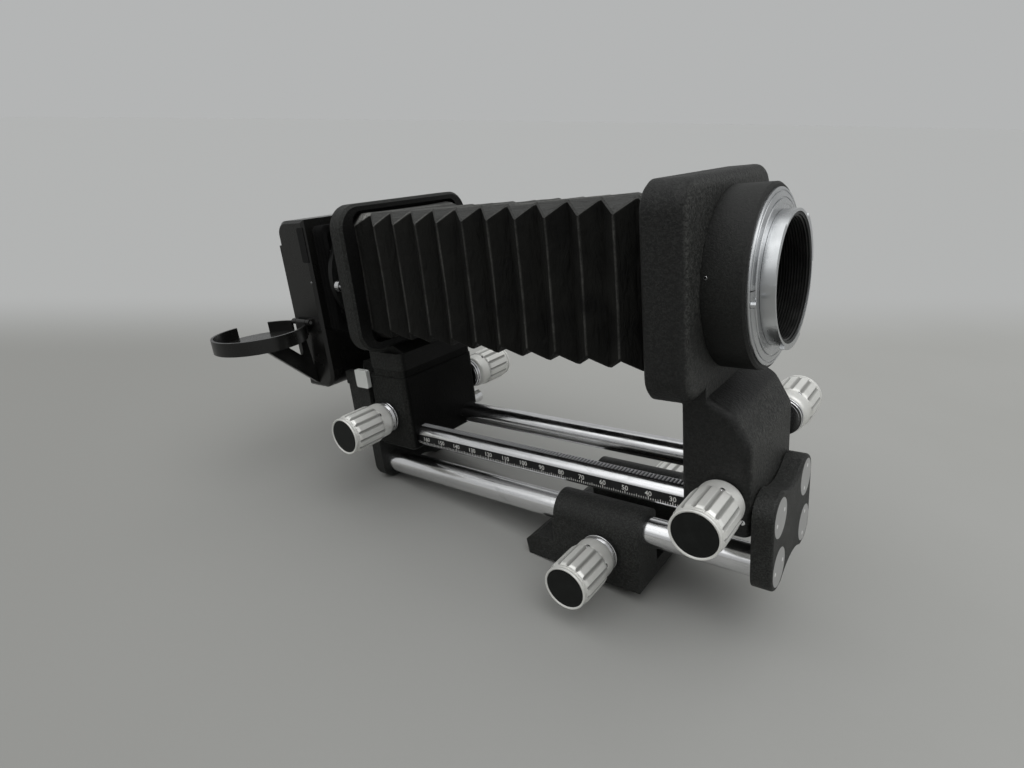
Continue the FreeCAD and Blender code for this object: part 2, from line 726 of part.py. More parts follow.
# small trimming screw low on the far side of the lens carriage
trim_x = lens_x1 - trim_in
trim_z = upper_rod_z + trim_rise
trim_bore = rod_y(carriage_half_y - trim_depth, carriage_half_y + 1, trim_x, trim_z, trim_r + run)
carriage = carriage.cut(trim_bore)
save("lens_carriage", carriage)
trim = rod_y(carriage_half_y - trim_depth + 1, carriage_half_y + seat, trim_x, trim_z, trim_r)
trim_head = rod_y(carriage_half_y + seat, carriage_half_y + seat + trim_head_len, trim_x, trim_z, trim_head_r)
save("lens_trim_screw", trim.fuse(trim_head))

# ---------------------------------------------------------------- bellows
bellows_x0 = recess_x0 + soft
bellows_x1 = spigot_x0 - retainer_t - soft
bellows_mid = (bellows_x0 + bellows_x1) / 2


def bellows_tube(x0, x1):
    outer = soft_box_x(x0, x1, bellows_half_y, axis_z - bellows_down, axis_z + bellows_up, 4)
    inner = box(x0 - 1, x1 + 1, -bellows_half_y + bellows_wall, bellows_half_y - bellows_wall,
                axis_z - bellows_down + bellows_wall, axis_z + bellows_up - bellows_wall)
    return outer.cut(inner)


save("bellows_lens_half", bellows_tube(bellows_x0, bellows_mid))
save("bellows_camera_half", bellows_tube(bellows_mid, bellows_x1))

# ---------------------------------------------------------------- tripod block
half_len = block_len / 2
block = box(-half_len, half_len, -block_half_y, block_half_y, 0, block_floor_t)
for s in (-1, 1):
    wall_y = sorted((s * block_half_y, s * (block_half_y - block_web)))
    block = block.fuse(box(-half_len, half_len, wall_y[0], wall_y[1], 0, lower_rod_z))
    block = block.fuse(rod_x(-half_len, half_len, s * rod_half_y, lower_rod_z, sleeve_r))
# tongue with a raised lip and a round scoop behind it
tip_x = -half_len - tongue_len
scoop_x = -half_len - 1 - scoop_r
scoop_top = scoop_z + scoop_r
scoop_end = -half_len - 1
outline = [(-half_len, 0), (-half_len - tongue_z0, tongue_z0), (tip_x + 1, tongue_z0),
           (tip_x, lip_z - lip_bevel), (tip_x + lip_bevel, lip_z), (scoop_x, scoop_z), (scoop_end, scoop_z),
           (scoop_end, scoop_top), (-half_len, scoop_top)]
tongue = prism([V(x, -block_half_y, z) for x, z in outline], V(0, 2 * block_half_y, 0))
tongue = tongue.cut(rod_y(-block_half_y - 1, block_half_y + 1, scoop_x, scoop_top, scoop_r))
hollow = box(scoop_x, half_len + 1, -block_half_y + block_web, block_half_y - block_web, block_floor_t,
             lower_rod_z + sleeve_r)
block = block.fuse(tongue).cut(hollow)
for s in (-1, 1):
    block = block.cut(rod_x(tip_x, half_len + 1, s * rod_half_y, lower_rod_z, lower_rod_r + run))
block = block.cut(drive_bore(block_drive_x, -block_half_y, block_drive_z, lower_module, block_pinion_teeth))
block = block.cut(lock_bore(block_drive_x, block_half_y, block_drive_z))
block = block.cut(rod_z(-1, bush_t, 0, 0, bush_r))
block = block.cut(rod_z(0, block_floor_t + 1, 0, 0, socket_r + 1))
save("tripod_block", block)
save("tripod_bush", rod_z(0, bush_t, 0, 0, bush_r).cut(rod_z(-1, bush_t + 1, 0, 0, socket_r)))
drive_knob(block_drive_x, -block_half_y, block_drive_z, "block_drive", block_drive_ring, lower_module,
           block_pinion_teeth, 0)
lock_knob(block_drive_x, block_half_y, block_drive_z, "block_lock")

# ---------------------------------------------------------------- slide copier: bracket and rail
bracket_x0 = lens_out - bracket_t
bracket_x1 = lens_out + bracket_over
bracket = box(bracket_x0, lens_out, -bracket_half_y, bracket_half_y, bracket_leg_z, tunnel_z)
outer_uprights = edges_at(bracket, lambda e: e.BoundBox.ZLength > 10 and e.BoundBox.XMax < bracket_x0 + 1e-6)
bracket = bracket.makeFillet(2.0, outer_uprights)
bracket = bracket.fuse(box(lens_out, bracket_x1, -bracket_half_y, bracket_half_y, plate_z1, tunnel_z))
tunnel_z1 = tunnel_z + rail_h + 2 * slip
tunnel = box(bracket_x0, lens_out, -rail_half_y - bracket_top_wall, rail_half_y + bracket_top_wall, tunnel_z,
             tunnel_z1 + bracket_top_wall)
tunnel = tunnel.cut(box(bracket_x0 - 1, lens_out + 1, -rail_half_y - slip, rail_half_y + slip, tunnel_z,
                        tunnel_z1))
cheek = box(bracket_x0, bracket_x1, -bracket_half_y, -bracket_half_y + cheek_t, tunnel_z,
            tunnel_z + cheek_rise)
bracket = fuse_all([bracket, tunnel, cheek])
lever_x = bracket_x1 - lever_in
lever_z = tunnel_z + lever_rise
pin_y1 = -bracket_half_y + lever_pin_len
bracket = bracket.cut(rod_y(-bracket_half_y - 1, pin_y1 + slip, lever_x, lever_z, lever_pin_r + run))
for y, z, r in rod_places:
    if z > bracket_leg_z:
        bracket = bracket.cut(rod_x(lens_out - 0.05, lens_out + 1, y, z, disc_r + slip))
save("copier_bracket", bracket)

rail_x1 = bracket_x1 - rail_end_gap
rail_x0 = copier_x0 + rail_end_wall
rail = box(rail_x0, rail_x1, -rail_half_y, rail_half_y, tunnel_z + slip, tunnel_z + slip + rail_h)
save("copier_rail", rail)

lever_y1 = -bracket_half_y - seat
lever_y0 = lever_y1 - lever_t
lever = box(lever_x - lever_back, lever_x + lever_reach, lever_y0, lever_y1, lever_z - lever_below,
            lever_z + lever_reach)
lever = lever.makeFillet(1.0, edges_at(lever, lambda e: e.BoundBox.YLength > 1))
lever = lever.fuse(rod_y(lever_y0, pin_y1, lever_x, lever_z, lever_pin_r))
save("copier_clamp_lever", lever)

# ---------------------------------------------------------------- slide copier: housing
housing = box(copier_x0, copier_x1, -copier_half_y, copier_half_y, copier_z0, copier_z1)
front_lean = edges_at(housing, lambda e: e.BoundBox.YLength > 10 and abs(e.BoundBox.XMin - copier_x1) < 1e-6
                      and abs(e.BoundBox.ZMin - copier_z0) < 1e-6)
housing = housing.makeFillet(copier_heel_r, front_lean)
top_round = edges_at(housing, lambda e: e.BoundBox.YLength > 10 and abs(e.BoundBox.XMin - copier_x0) < 1e-6
                     and abs(e.BoundBox.ZMin - copier_z1) < 1e-6)
housing = housing.makeFillet(copier_corner_r, top_round)
sides = edges_at(housing, lambda e: abs(abs(e.BoundBox.YMin) - copier_half_y) < 1e-6
                 and e.BoundBox.YLength < 1e-6 and e.BoundBox.XMin > copier_x0 + 1e-6)
housing = housing.makeChamfer(copier_edge, sides)
pocket_y = film_gate_half_y + gate_shift + gate_wall
pocket_z = gate_half_z + gate_rise + soft
housing = housing.cut(box(copier_x0 - 1, copier_x0 + gate_t + film_slot + slip, -pocket_y, pocket_y,
                          axis_z - pocket_z, axis_z + pocket_z))
light_y = frame_w / 2 + gate_shift + 1
light_z = frame_h / 2 + gate_rise + 1
housing = housing.cut(box(copier_x0, copier_x1 + 1, -light_y, light_y, axis_z - light_z, axis_z + light_z))
housing = housing.cut(box(copier_x0 - 1, copier_x0 + film_slot, -copier_half_y - 1, copier_half_y + 1,
                          axis_z - film_half, axis_z + film_half))
housing = housing.cut(box(rail_x0, copier_x1 + 1, -rail_half_y, rail_half_y, tunnel_z + slip,
                          tunnel_z + slip + rail_h))
door_z0 = axis_z - door_bottom
hinge_x = copier_x0 - soft - hinge_r
hinge_z = door_z0
ear_y = door_half_y * 0.6
for s in (-1, 1):
    y0, y1 = sorted((s * (ear_y + soft), s * (ear_y + soft + ear_w)))
    ear = box(hinge_x, copier_x0 + 0.5, y0, y1, hinge_z - hinge_r, hinge_z + hinge_r)
    ear = ear.fuse(rod_y(y0, y1, hinge_x, hinge_z, hinge_r))
    ear = ear.cut(rod_y(y0 - 1, y1 + 1, hinge_x, hinge_z, hinge_pin_r))
    housing = housing.fuse(ear)

tray_x = copier_x0 + tray_in_from_front
tray_y = copier_half_y + tray_gap + tray_r
tray_z1 = axis_z - tray_rim_below_axis
tray_z0 = tray_z1 - tray_h
pivot_y = copier_half_y + tray_pivot_out
pivot_x0 = tray_x + 2.0
pivot_x1 = pivot_x0 + pivot_len
for s in (-1, 1):
    for x0 in (pivot_x0 - soft - ear_w, pivot_x1 + soft):
        y0, y1 = sorted((s * (copier_half_y - 0.5), s * pivot_y))
        ear = box(x0, x0 + ear_w, y0, y1, tray_z1 - tray_pivot_r, tray_z1 + tray_pivot_r)
        ear = ear.fuse(rod_x(x0, x0 + ear_w, s * pivot_y, tray_z1, tray_pivot_r))
        ear = ear.cut(rod_x(x0 - 1, x0 + ear_w + 1, s * pivot_y, tray_z1, hinge_pin_r))
        housing = housing.fuse(ear)
save("copier_housing", housing)
pins = [rod_y(-ear_y - soft - ear_w, ear_y + soft + ear_w, hinge_x, hinge_z, hinge_pin_r)]
for s in (-1, 1):
    pins.append(rod_x(pivot_x0 - soft - ear_w, pivot_x1 + soft + ear_w, s * pivot_y, tray_z1, hinge_pin_r))
save("copier_hinge_pins", Part.Compound(pins))

# gate frame rises and falls; the film gate inside it shifts sideways
gate_x0 = copier_x0 + film_slot
gate_frame = box(gate_x0, gate_x0 + gate_t, -pocket_y + slip, pocket_y - slip, axis_z - gate_half_z,
                 axis_z + gate_half_z)
inner_y = film_gate_half_y + gate_shift + soft
gate_frame = gate_frame.cut(box(gate_x0 - 1, gate_x0 + film_gate_t + slip, -inner_y, inner_y,
                                axis_z - film_gate_half_z - slip, axis_z + film_gate_half_z + slip))
gate_frame = gate_frame.cut(box(gate_x0, gate_x0 + gate_t + 1, -light_y + 0.5, light_y - 0.5,
                                axis_z - frame_h / 2 - 1, axis_z + frame_h / 2 + 1))
save("copier_gate_frame", gate_frame)
gate = box(gate_x0, gate_x0 + film_gate_t, -film_gate_half_y, film_gate_half_y, axis_z - film_gate_half_z,
           axis_z + film_gate_half_z)
gate = gate.cut(box(gate_x0 - 1, gate_x0 + film_gate_t + 1, -frame_w / 2, frame_w / 2, axis_z - frame_h / 2,
                    axis_z + frame_h / 2))
save("copier_film_gate", gate)

# diffuser door, hinged along its lower edge
door_x1 = copier_x0 - seat
door_x0 = door_x1 - door_t
door = box(door_x0, door_x1, -door_half_y, door_half_y, door_z0 + hinge_r + 0.6, axis_z + door_top)
door = door.fuse(box(door_x0, hinge_x + 0.4, -ear_y, ear_y, door_z0, door_z0 + hinge_r + 1))
door = door.fuse(rod_y(-ear_y, ear_y, hinge_x, hinge_z, hinge_r))
door = door.cut(rod_y(-ear_y - 1, ear_y + 1, hinge_x, hinge_z, hinge_pin_r + run))
opal_y = frame_w / 2 + opal_margin
opal_z = frame_h / 2 + opal_margin
door = door.cut(box(door_x0 - 1, door_x1 + 1, -opal_y + 1, opal_y - 1, axis_z - opal_z + 1,
                    axis_z + opal_z - 1))
door = door.cut(box(door_x1 - opal_t, door_x1 + 1, -opal_y, opal_y, axis_z - opal_z, axis_z + opal_z))
save("copier_diffuser_door", door)
save("copier_opal_glass", box(door_x1 - opal_t, door_x1, -opal_y, opal_y, axis_z - opal_z, axis_z + opal_z))

# folding hood and its ring, facing the lens
hood = box(copier_x1, copier_x1 + hood_len, -hood_half_y, hood_half_y, axis_z - hood_half_y,
           axis_z + hood_half_y)
inside = hood_half_y - hood_wall
hood_way = box(copier_x1 - 1, copier_x1 + hood_len + 1, -inside, inside, axis_z - inside, axis_z + inside)
save("copier_hood", hood.cut(hood_way))
ring_at = copier_x1 + hood_len
save("copier_hood_ring", ring_x(ring_at, ring_at + ring_t, 0, axis_z, ring_r, ring_bore_r))


# ---------------------------------------------------------------- film trays
def film_tray(side):
    """A round dish on a braced arm; side is -1 for the near tray."""
    dish = rod_z(tray_z0, tray_z1, tray_x, -tray_y, tray_r)
    dish = dish.cut(rod_z(tray_z0 + tray_wall, tray_z1 + 1, tray_x, -tray_y, tray_r - tray_wall))
    for middle, half in ((tray_gap_deg, tray_gap_half_deg), (ear_gap_deg, ear_gap_half_deg)):
        gap = [V(tray_x, -tray_y, tray_z0 + tray_wall)]
        for a in (math.radians(middle - half), math.radians(middle + half)):
            far = V(2 * tray_r * math.cos(a), 2 * tray_r * math.sin(a), 0)
            gap.append(gap[0] + far)
        dish = dish.cut(prism(gap, V(0, 0, tray_h)))
    reach = tray_r * tray_r - (pivot_x1 - tray_x) ** 2
    arm_y = -tray_y + math.sqrt(reach) - tray_wall
    arm = box(pivot_x0, pivot_x1, arm_y, -pivot_y, tray_z0, tray_z0 + tray_wall + 1)
    arm = arm.fuse(box(pivot_x0, pivot_x1, -pivot_y - tray_pivot_r, -pivot_y, tray_z0, tray_z1))
    arm = arm.fuse(rod_x(pivot_x0, pivot_x1, -pivot_y, tray_z1, tray_pivot_r))
    brace_x0 = (pivot_x0 + pivot_x1 - strut_t) / 2
    wall_y = -copier_half_y - soft
    brace = prism([V(brace_x0, wall_y, tray_z0 - strut_drop), V(brace_x0, wall_y, tray_z0 - strut_drop + 3.5),
                   V(brace_x0, wall_y - 2.5, tray_z0), V(brace_x0, -tray_y - 5, tray_z0)], V(strut_t, 0, 0))
    window = prism([V(brace_x0 - 1, wall_y - 5.5, tray_z0 - 2), V(brace_x0 - 1, wall_y - 15, tray_z0 - 2),
                    V(brace_x0 - 1, wall_y - 5.5, tray_z0 - 11)], V(strut_t + 2, 0, 0))
    brace = brace.cut(window)
    stud = rod_z(tray_z0 - stud_r, tray_z0, tray_x - stud_out, -tray_y - stud_side, stud_r)
    tray = fuse_all([dish, arm, brace, stud])
    tray = tray.cut(rod_x(pivot_x0 - 1, pivot_x1 + 1, -pivot_y, tray_z1, hinge_pin_r + run))
    return tray if side < 0 else mirror_y(tray)


save("film_tray_near", film_tray(-1))
save("film_tray_far", film_tray(1))
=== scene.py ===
import bpy
import math
import random

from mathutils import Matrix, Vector


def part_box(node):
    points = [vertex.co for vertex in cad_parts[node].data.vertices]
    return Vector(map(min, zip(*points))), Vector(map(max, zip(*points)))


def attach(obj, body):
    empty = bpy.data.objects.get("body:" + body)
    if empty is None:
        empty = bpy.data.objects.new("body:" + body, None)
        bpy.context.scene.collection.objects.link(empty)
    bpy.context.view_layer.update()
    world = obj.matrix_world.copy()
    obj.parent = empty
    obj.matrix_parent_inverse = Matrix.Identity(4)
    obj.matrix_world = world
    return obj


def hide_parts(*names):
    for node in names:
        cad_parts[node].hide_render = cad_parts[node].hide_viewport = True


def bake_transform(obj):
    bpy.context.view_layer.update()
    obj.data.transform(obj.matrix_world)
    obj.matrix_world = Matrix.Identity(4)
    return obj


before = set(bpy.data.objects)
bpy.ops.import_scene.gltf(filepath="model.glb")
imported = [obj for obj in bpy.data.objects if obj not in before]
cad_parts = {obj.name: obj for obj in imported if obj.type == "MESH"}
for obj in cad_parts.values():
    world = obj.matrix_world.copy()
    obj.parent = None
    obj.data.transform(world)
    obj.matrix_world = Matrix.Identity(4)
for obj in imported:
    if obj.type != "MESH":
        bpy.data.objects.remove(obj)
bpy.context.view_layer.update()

MM = 0.001
MM_PER_M = 1000


# ------------------------------------------------------------------ places in mm, read from the CAD nodes
def node_box(node):
    """Lowest and highest corner of a CAD node, in mm."""
    low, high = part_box(node)
    return low * MM_PER_M, high * MM_PER_M


def middle(node, axis):
    low, high = node_box(node)
    return (low[axis] + high[axis]) / 2


CAMERA_PLATE_LOW, CAMERA_PLATE_HIGH = node_box("end_plate_camera")
LENS_PLATE_LOW = node_box("end_plate_lens")[0]
AXIS_Z = middle("camera_mount_drum", 2)


# ------------------------------------------------------------------ node helpers for materials and the world
class Nodes:
    """Short ways to build a node tree."""

    def __init__(self, tree):
        self.tree = tree

    def node(self, kind, **values):
        made = self.tree.nodes.new(kind)
        for key, value in values.items():
            setattr(made, key, value)
        return made

    def link(self, a, b):
        self.tree.links.new(a, b)

    def calc(self, operation, a, b=None):
        """A Math node of a socket and, where it takes two, a second socket or number."""
        made = self.node("ShaderNodeMath", operation=operation)
        self.link(a, made.inputs[0])
        if hasattr(b, "is_linked"):
            self.link(b, made.inputs[1])
        elif b is not None:
            made.inputs[1].default_value = b
        return made.outputs[0]

    def times(self, a, b):
        return self.calc("MULTIPLY", a, b)

    def distance_from(self, value, middle_value):
        """How far a value is from another, as a positive number."""
        return self.calc("ABSOLUTE", self.calc("SUBTRACT", value, middle_value))

    def dot(self, vector, direction):
        """The part of a vector along a direction."""
        made = self.node("ShaderNodeVectorMath", operation="DOT_PRODUCT")
        self.link(vector, made.inputs[0])
        made.inputs[1].default_value = direction
        return made.outputs["Value"]

    def ramp(self, value, low, high, to_low=0.0, to_high=1.0, curve="LINEAR"):
        """value between low and high becomes to_low to to_high, clamped."""
        remap = self.node("ShaderNodeMapRange", interpolation_type=curve)
        self.link(value, remap.inputs["Value"])
        for key, number in (("From Min", low), ("From Max", high), ("To Min", to_low), ("To Max", to_high)):
            remap.inputs[key].default_value = number
        return remap.outputs["Result"]

    def soft_ramp(self, value, low, high, to_low=0.0, to_high=1.0):
        """A ramp that eases in and out."""
        return self.ramp(value, low, high, to_low, to_high, "SMOOTHSTEP")


class Surface(Nodes):
    """A Principled material whose colour, roughness and bump come from procedural textures."""

    MIX_FIRST, MIX_SECOND, MIX_RESULT = 6, 7, 2     # places of the Mix node's colour sockets

    def __init__(self, name, colour, metallic=0.0, roughness=0.5, specular=0.5):
        self.material = bpy.data.materials.new(name)
        self.material.use_nodes = True
        super().__init__(self.material.node_tree)
        self.shader = self.tree.nodes["Principled BSDF"]
        self.shader.inputs["Base Color"].default_value = (*colour, 1)
        self.shader.inputs["Metallic"].default_value = metallic
        self.shader.inputs["Roughness"].default_value = roughness
        self.shader.inputs["Specular IOR Level"].default_value = specular
        self.place = self.node("ShaderNodeTexCoord").outputs["Object"]
        self.normal = None

    def component(self, axis, vector=None):
        """The "X", "Y" or "Z" of a vector, by default of the object coordinates in metres."""
        parts = self.node("ShaderNodeSeparateXYZ")
        self.link(self.place if vector is None else vector, parts.inputs["Vector"])
        return parts.outputs[axis]

    def stretched(self, per_mm):
        """Object coordinates multiplied so that one unit is 1/per_mm mm along each axis."""
        mapping = self.node("ShaderNodeMapping")
        self.link(self.place, mapping.inputs["Vector"])
        mapping.inputs["Scale"].default_value = [s * MM_PER_M for s in per_mm]
        return mapping.outputs["Vector"]

    def noise(self, per_mm, detail=3.0, rough=0.55, distortion=0.0):
        """Noise of the given features per mm, one number or one per axis."""
        if not hasattr(per_mm, "__len__"):
            per_mm = (per_mm,) * 3
        texture = self.node("ShaderNodeTexNoise")
        texture.inputs["Scale"].default_value = 1.0
        texture.inputs["Detail"].default_value = detail
        texture.inputs["Roughness"].default_value = rough
        texture.inputs["Distortion"].default_value = distortion
        self.link(self.stretched(per_mm), texture.inputs["Vector"])
        return texture.outputs["Fac"]

    def cells(self, per_mm):
        texture = self.node("ShaderNodeTexVoronoi")
        texture.inputs["Scale"].default_value = 1.0
        self.link(self.stretched((per_mm,) * 3), texture.inputs["Vector"])
        return texture.outputs["Distance"]

    def mix(self, factor, first, second):
        """Colour that goes from first to second; each is a colour or a socket."""
        blend = self.node("ShaderNodeMix", data_type="RGBA")
        self.link(factor, blend.inputs["Factor"])
        for at, colour in ((self.MIX_FIRST, first), (self.MIX_SECOND, second)):
            if hasattr(colour, "is_linked"):
                self.link(colour, blend.inputs[at])
            else:
                blend.inputs[at].default_value = (*colour, 1)
        return blend.outputs[self.MIX_RESULT]

    def colour(self, socket):
        self.link(socket, self.shader.inputs["Base Color"])

    def rough(self, socket):
        self.link(socket, self.shader.inputs["Roughness"])

    def bump(self, height, depth_mm):
        """Adds a bump to those made before it."""
        bump = self.node("ShaderNodeBump")
        bump.inputs["Strength"].default_value = 1.0
        bump.inputs["Distance"].default_value = depth_mm * MM
        self.link(height, bump.inputs["Height"])
        if self.normal is not None:
            self.link(self.normal, bump.inputs["Normal"])
        self.normal = bump.outputs["Normal"]
        self.link(self.normal, self.shader.inputs["Normal"])

    def attribute(self, name):
        return self.node("ShaderNodeAttribute", attribute_name=name).outputs["Fac"]


# ------------------------------------------------------------------ looks
PAINTED_RECESS_RIM = 0.6        # mm over which a recess takes on its painted shade


def painted_casting(name, dark, light, grain_per_mm, depth_mm, roughness, painted_facing_tones=None, specular=0.3,
                    painted_recess=None):
    """Wrinkle-painted metal: small irregular bumps, brighter where the crests are rubbed. The facing tones are
    dark and light tones painted on the faces that look along +X, as painted light on some castings and
    painted shade on others; the recess is (half width, middle height, half height) in mm of a recess that
    has them too, as painted shade."""
    s = Surface(name, dark, roughness=roughness, specular=specular)
    wrinkle = s.noise(grain_per_mm, detail=4, rough=0.62, distortion=0.6)
    fine = s.noise(grain_per_mm * 2.3, detail=2, rough=0.5)
    mottle = s.noise(0.035, detail=5, rough=0.6)
    peaks = s.times(wrinkle, s.ramp(fine, 0.25, 0.75, 0.6, 1.4))
    rub = s.times(s.ramp(peaks, 0.4, 0.68), s.ramp(mottle, 0.35, 0.7, 0.45, 1.0))
    tone = s.mix(rub, dark, light)
    # painted light and shade: faces that look along +X, and a recess, take other tones
    if painted_facing_tones:
        painted_facing = s.ramp(s.component("X", s.node("ShaderNodeTexCoord").outputs["Normal"]), 0.72, 0.94)
        if painted_recess:
            half_y, mid_z, half_z = painted_recess
            off_y = s.distance_from(s.component("Y"), 0)
            off_z = s.distance_from(s.component("Z"), mid_z * MM)
            inside = s.times(s.ramp(off_y, half_y * MM, (half_y - PAINTED_RECESS_RIM) * MM),
                             s.ramp(off_z, half_z * MM, (half_z - PAINTED_RECESS_RIM) * MM))
            painted_facing = s.calc("MAXIMUM", painted_facing, inside)
        tone = s.mix(painted_facing, tone, s.mix(rub, *painted_facing_tones))
    s.colour(tone)
    s.rough(s.ramp(mottle, 0.3, 0.7, roughness - 0.07, roughness + 0.09))
    s.bump(wrinkle, depth_mm)
    s.bump(s.noise(0.25, detail=2), 0.06)
    return s.material


def turned_metal(name, colour, along, lines_per_mm, roughness, depth_mm=0.012, uneven=0.25, metallic=1.0):
    """Metal turned or drawn along an axis; along is 0, 1 or 2, and the tool lines run across it. uneven is how
    much handling marks change its gloss."""
    s = Surface(name, colour, metallic=metallic, roughness=roughness)
    per_mm = [0.12, 0.12, 0.12]
    per_mm[along] = lines_per_mm
    lines = s.noise(per_mm, detail=4, rough=0.7)
    smudge = s.noise(0.07, detail=4, rough=0.55, distortion=0.3)
    less = 1 - uneven * 0.3
    s.colour(s.mix(s.ramp(smudge, 0.35, 0.72), colour, tuple(c * less for c in colour)))
    s.rough(s.ramp(smudge, 0.3, 0.72, roughness * less, roughness * (1 + uneven)))
    s.bump(lines, depth_mm)
    return s.material


def rod_chrome():
    """Worn satin chrome on the rods: long streaks of handling, and small pits in the plating."""
    s = Surface("rail_chrome", (0.62, 0.62, 0.63), metallic=1.0, roughness=0.26)
    streak = s.noise((0.02, 0.35, 0.35), detail=5, rough=0.65, distortion=0.2)
    blot = s.noise((0.05, 0.12, 0.12), detail=6, rough=0.7, distortion=0.8)
    pits = s.noise(1.6, detail=3, rough=0.7)
    base = s.mix(s.ramp(streak, 0.35, 0.65), (0.83, 0.83, 0.84), (0.73, 0.73, 0.74))
    base = s.mix(s.ramp(blot, 0.5, 0.68, 0.0, 0.3), base, (0.4, 0.4, 0.4))
    s.colour(s.mix(s.ramp(pits, 0.64, 0.74, 0.0, 0.6), base, (0.2, 0.2, 0.2)))
    s.rough(s.ramp(blot, 0.35, 0.65, 0.14, 0.24))
    s.bump(s.noise((3.0, 0.12, 0.12), detail=3), 0.003)
    return s.material


def rack_metal(name, tip_z, root_z):
    """Dark oiled steel that is bright at the tooth tips; heights in mm."""
    s = Surface(name, (0.2, 0.2, 0.2), metallic=1.0, roughness=0.34)
    tip = s.ramp(s.component("Z"), root_z * MM, tip_z * MM)
    oil = s.noise(0.5, detail=4)
    oiled = s.mix(s.ramp(oil, 0.35, 0.7), (0.05, 0.05, 0.052), (0.1, 0.1, 0.1))
    s.colour(s.mix(tip, oiled, (0.58, 0.58, 0.59)))
    s.rough(s.ramp(oil, 0.3, 0.7, 0.26, 0.45))
    s.bump(s.noise(2.0), 0.01)
    return s.material


def knob_metal():
    """Blasted aluminium, with painted shade in the bottoms of the flutes."""
    s = Surface("knob_aluminium", (0.9, 0.9, 0.87), metallic=0.55, roughness=0.46)
    smudge = s.noise(0.09, detail=4)
    clean = s.mix(s.ramp(smudge, 0.35, 0.7), (0.93, 0.93, 0.9), (0.84, 0.84, 0.805))
    # the groove attribute darkens the flutes' bottoms as painted shade
    s.colour(s.mix(s.attribute("groove"), clean, (0.36, 0.36, 0.345)))
    s.rough(s.ramp(smudge, 0.3, 0.72, 0.44, 0.56))
    s.bump(s.noise(2.6, detail=2), 0.012)
    return s.material


def leatherette():
    """Coated bellows cloth: fine grain, creases across the folds, painted light that makes the faces that look
    up lighter, and pale worn crests. It is a little lighter toward the lens end."""
    s = Surface("bellows_cloth", (0.004, 0.004, 0.004), roughness=0.65, specular=0.14)
    patch = s.noise(0.09, detail=6, rough=0.62)
    specks = s.noise(1.4, detail=4, rough=0.7)
    patchy = s.ramp(patch, 0.32, 0.62, 0.25, 1.0)
    worn = s.times(s.times(s.attribute("crest"), s.ramp(specks, 0.36, 0.6, 0.35, 1.0)), patchy)
    base = s.mix(s.ramp(patch, 0.35, 0.7), (0.003, 0.003, 0.0027), (0.0105, 0.0105, 0.0092))
    lens_end = s.times(s.ramp(s.component("X"), -0.03, -0.12), s.ramp(specks, 0.3, 0.7, 0.4, 1.0))
    base = s.mix(lens_end, base, (0.016, 0.0162, 0.015))
    # painted light: faces that look up are lighter, in specks
    upward = s.component("Z", s.node("ShaderNodeNewGeometry").outputs["Normal"])
    lightening = s.times(s.ramp(upward, 0.35, 0.8), s.ramp(specks, 0.3, 0.7, 0.6, 1.0))
    s.colour(s.mix(worn, s.mix(lightening, base, (0.068, 0.069, 0.067)), (0.3, 0.3, 0.285)))
    s.rough(s.ramp(patch, 0.3, 0.7, 0.6, 0.75))
    s.bump(s.cells(2.6), 0.05)
    s.bump(s.noise((0.42, 0.07, 0.1), detail=5, rough=0.55, distortion=0.7), 1.1)
    return s.material


def even_finish(name, colour, roughness, grain_per_mm=2.0, depth_mm=0.02, specular=0.5):
    """Smooth paint, anodising, plastic or thin cloth: fine grain, and dust that lightens it in patches."""
    s = Surface(name, colour, roughness=roughness, specular=specular)
    lightening = s.noise(0.2, detail=6, rough=0.7)
    lighter = tuple(min(c * 1.9 + 0.002, c + 0.06) for c in colour)
    s.colour(s.mix(s.ramp(lightening, 0.45, 0.75), colour, lighter))
    s.rough(s.ramp(lightening, 0.3, 0.7, roughness - 0.05, roughness + 0.1))
    s.bump(s.noise(grain_per_mm, detail=3), depth_mm)
    return s.material


def frosted_plastic():
    s = Surface("opal_sheet", (0.72, 0.72, 0.69), roughness=0.42)
    cloud = s.noise(0.06, detail=4)
    s.colour(s.mix(s.ramp(cloud, 0.35, 0.7), (0.74, 0.74, 0.71), (0.66, 0.66, 0.62)))
    s.shader.inputs["Subsurface Weight"].default_value = 0.25
    s.shader.inputs["Subsurface Radius"].default_value = (0.002, 0.002, 0.002)
    s.bump(s.noise(3.0), 0.01)
    return s.material


# dark tone, light tone, grain per mm, depth in mm and roughness of the common wrinkle paint
BLACK_PAINT = ((0.011, 0.0114, 0.0106), (0.05, 0.052, 0.049), 1.25, 0.3, 0.52)
# painted shade: dark and light tones of the unlit faces inside the lens standard
INNER_PAINTED_SHADE = ((0.0018, 0.0019, 0.0017), (0.004, 0.004, 0.0038))

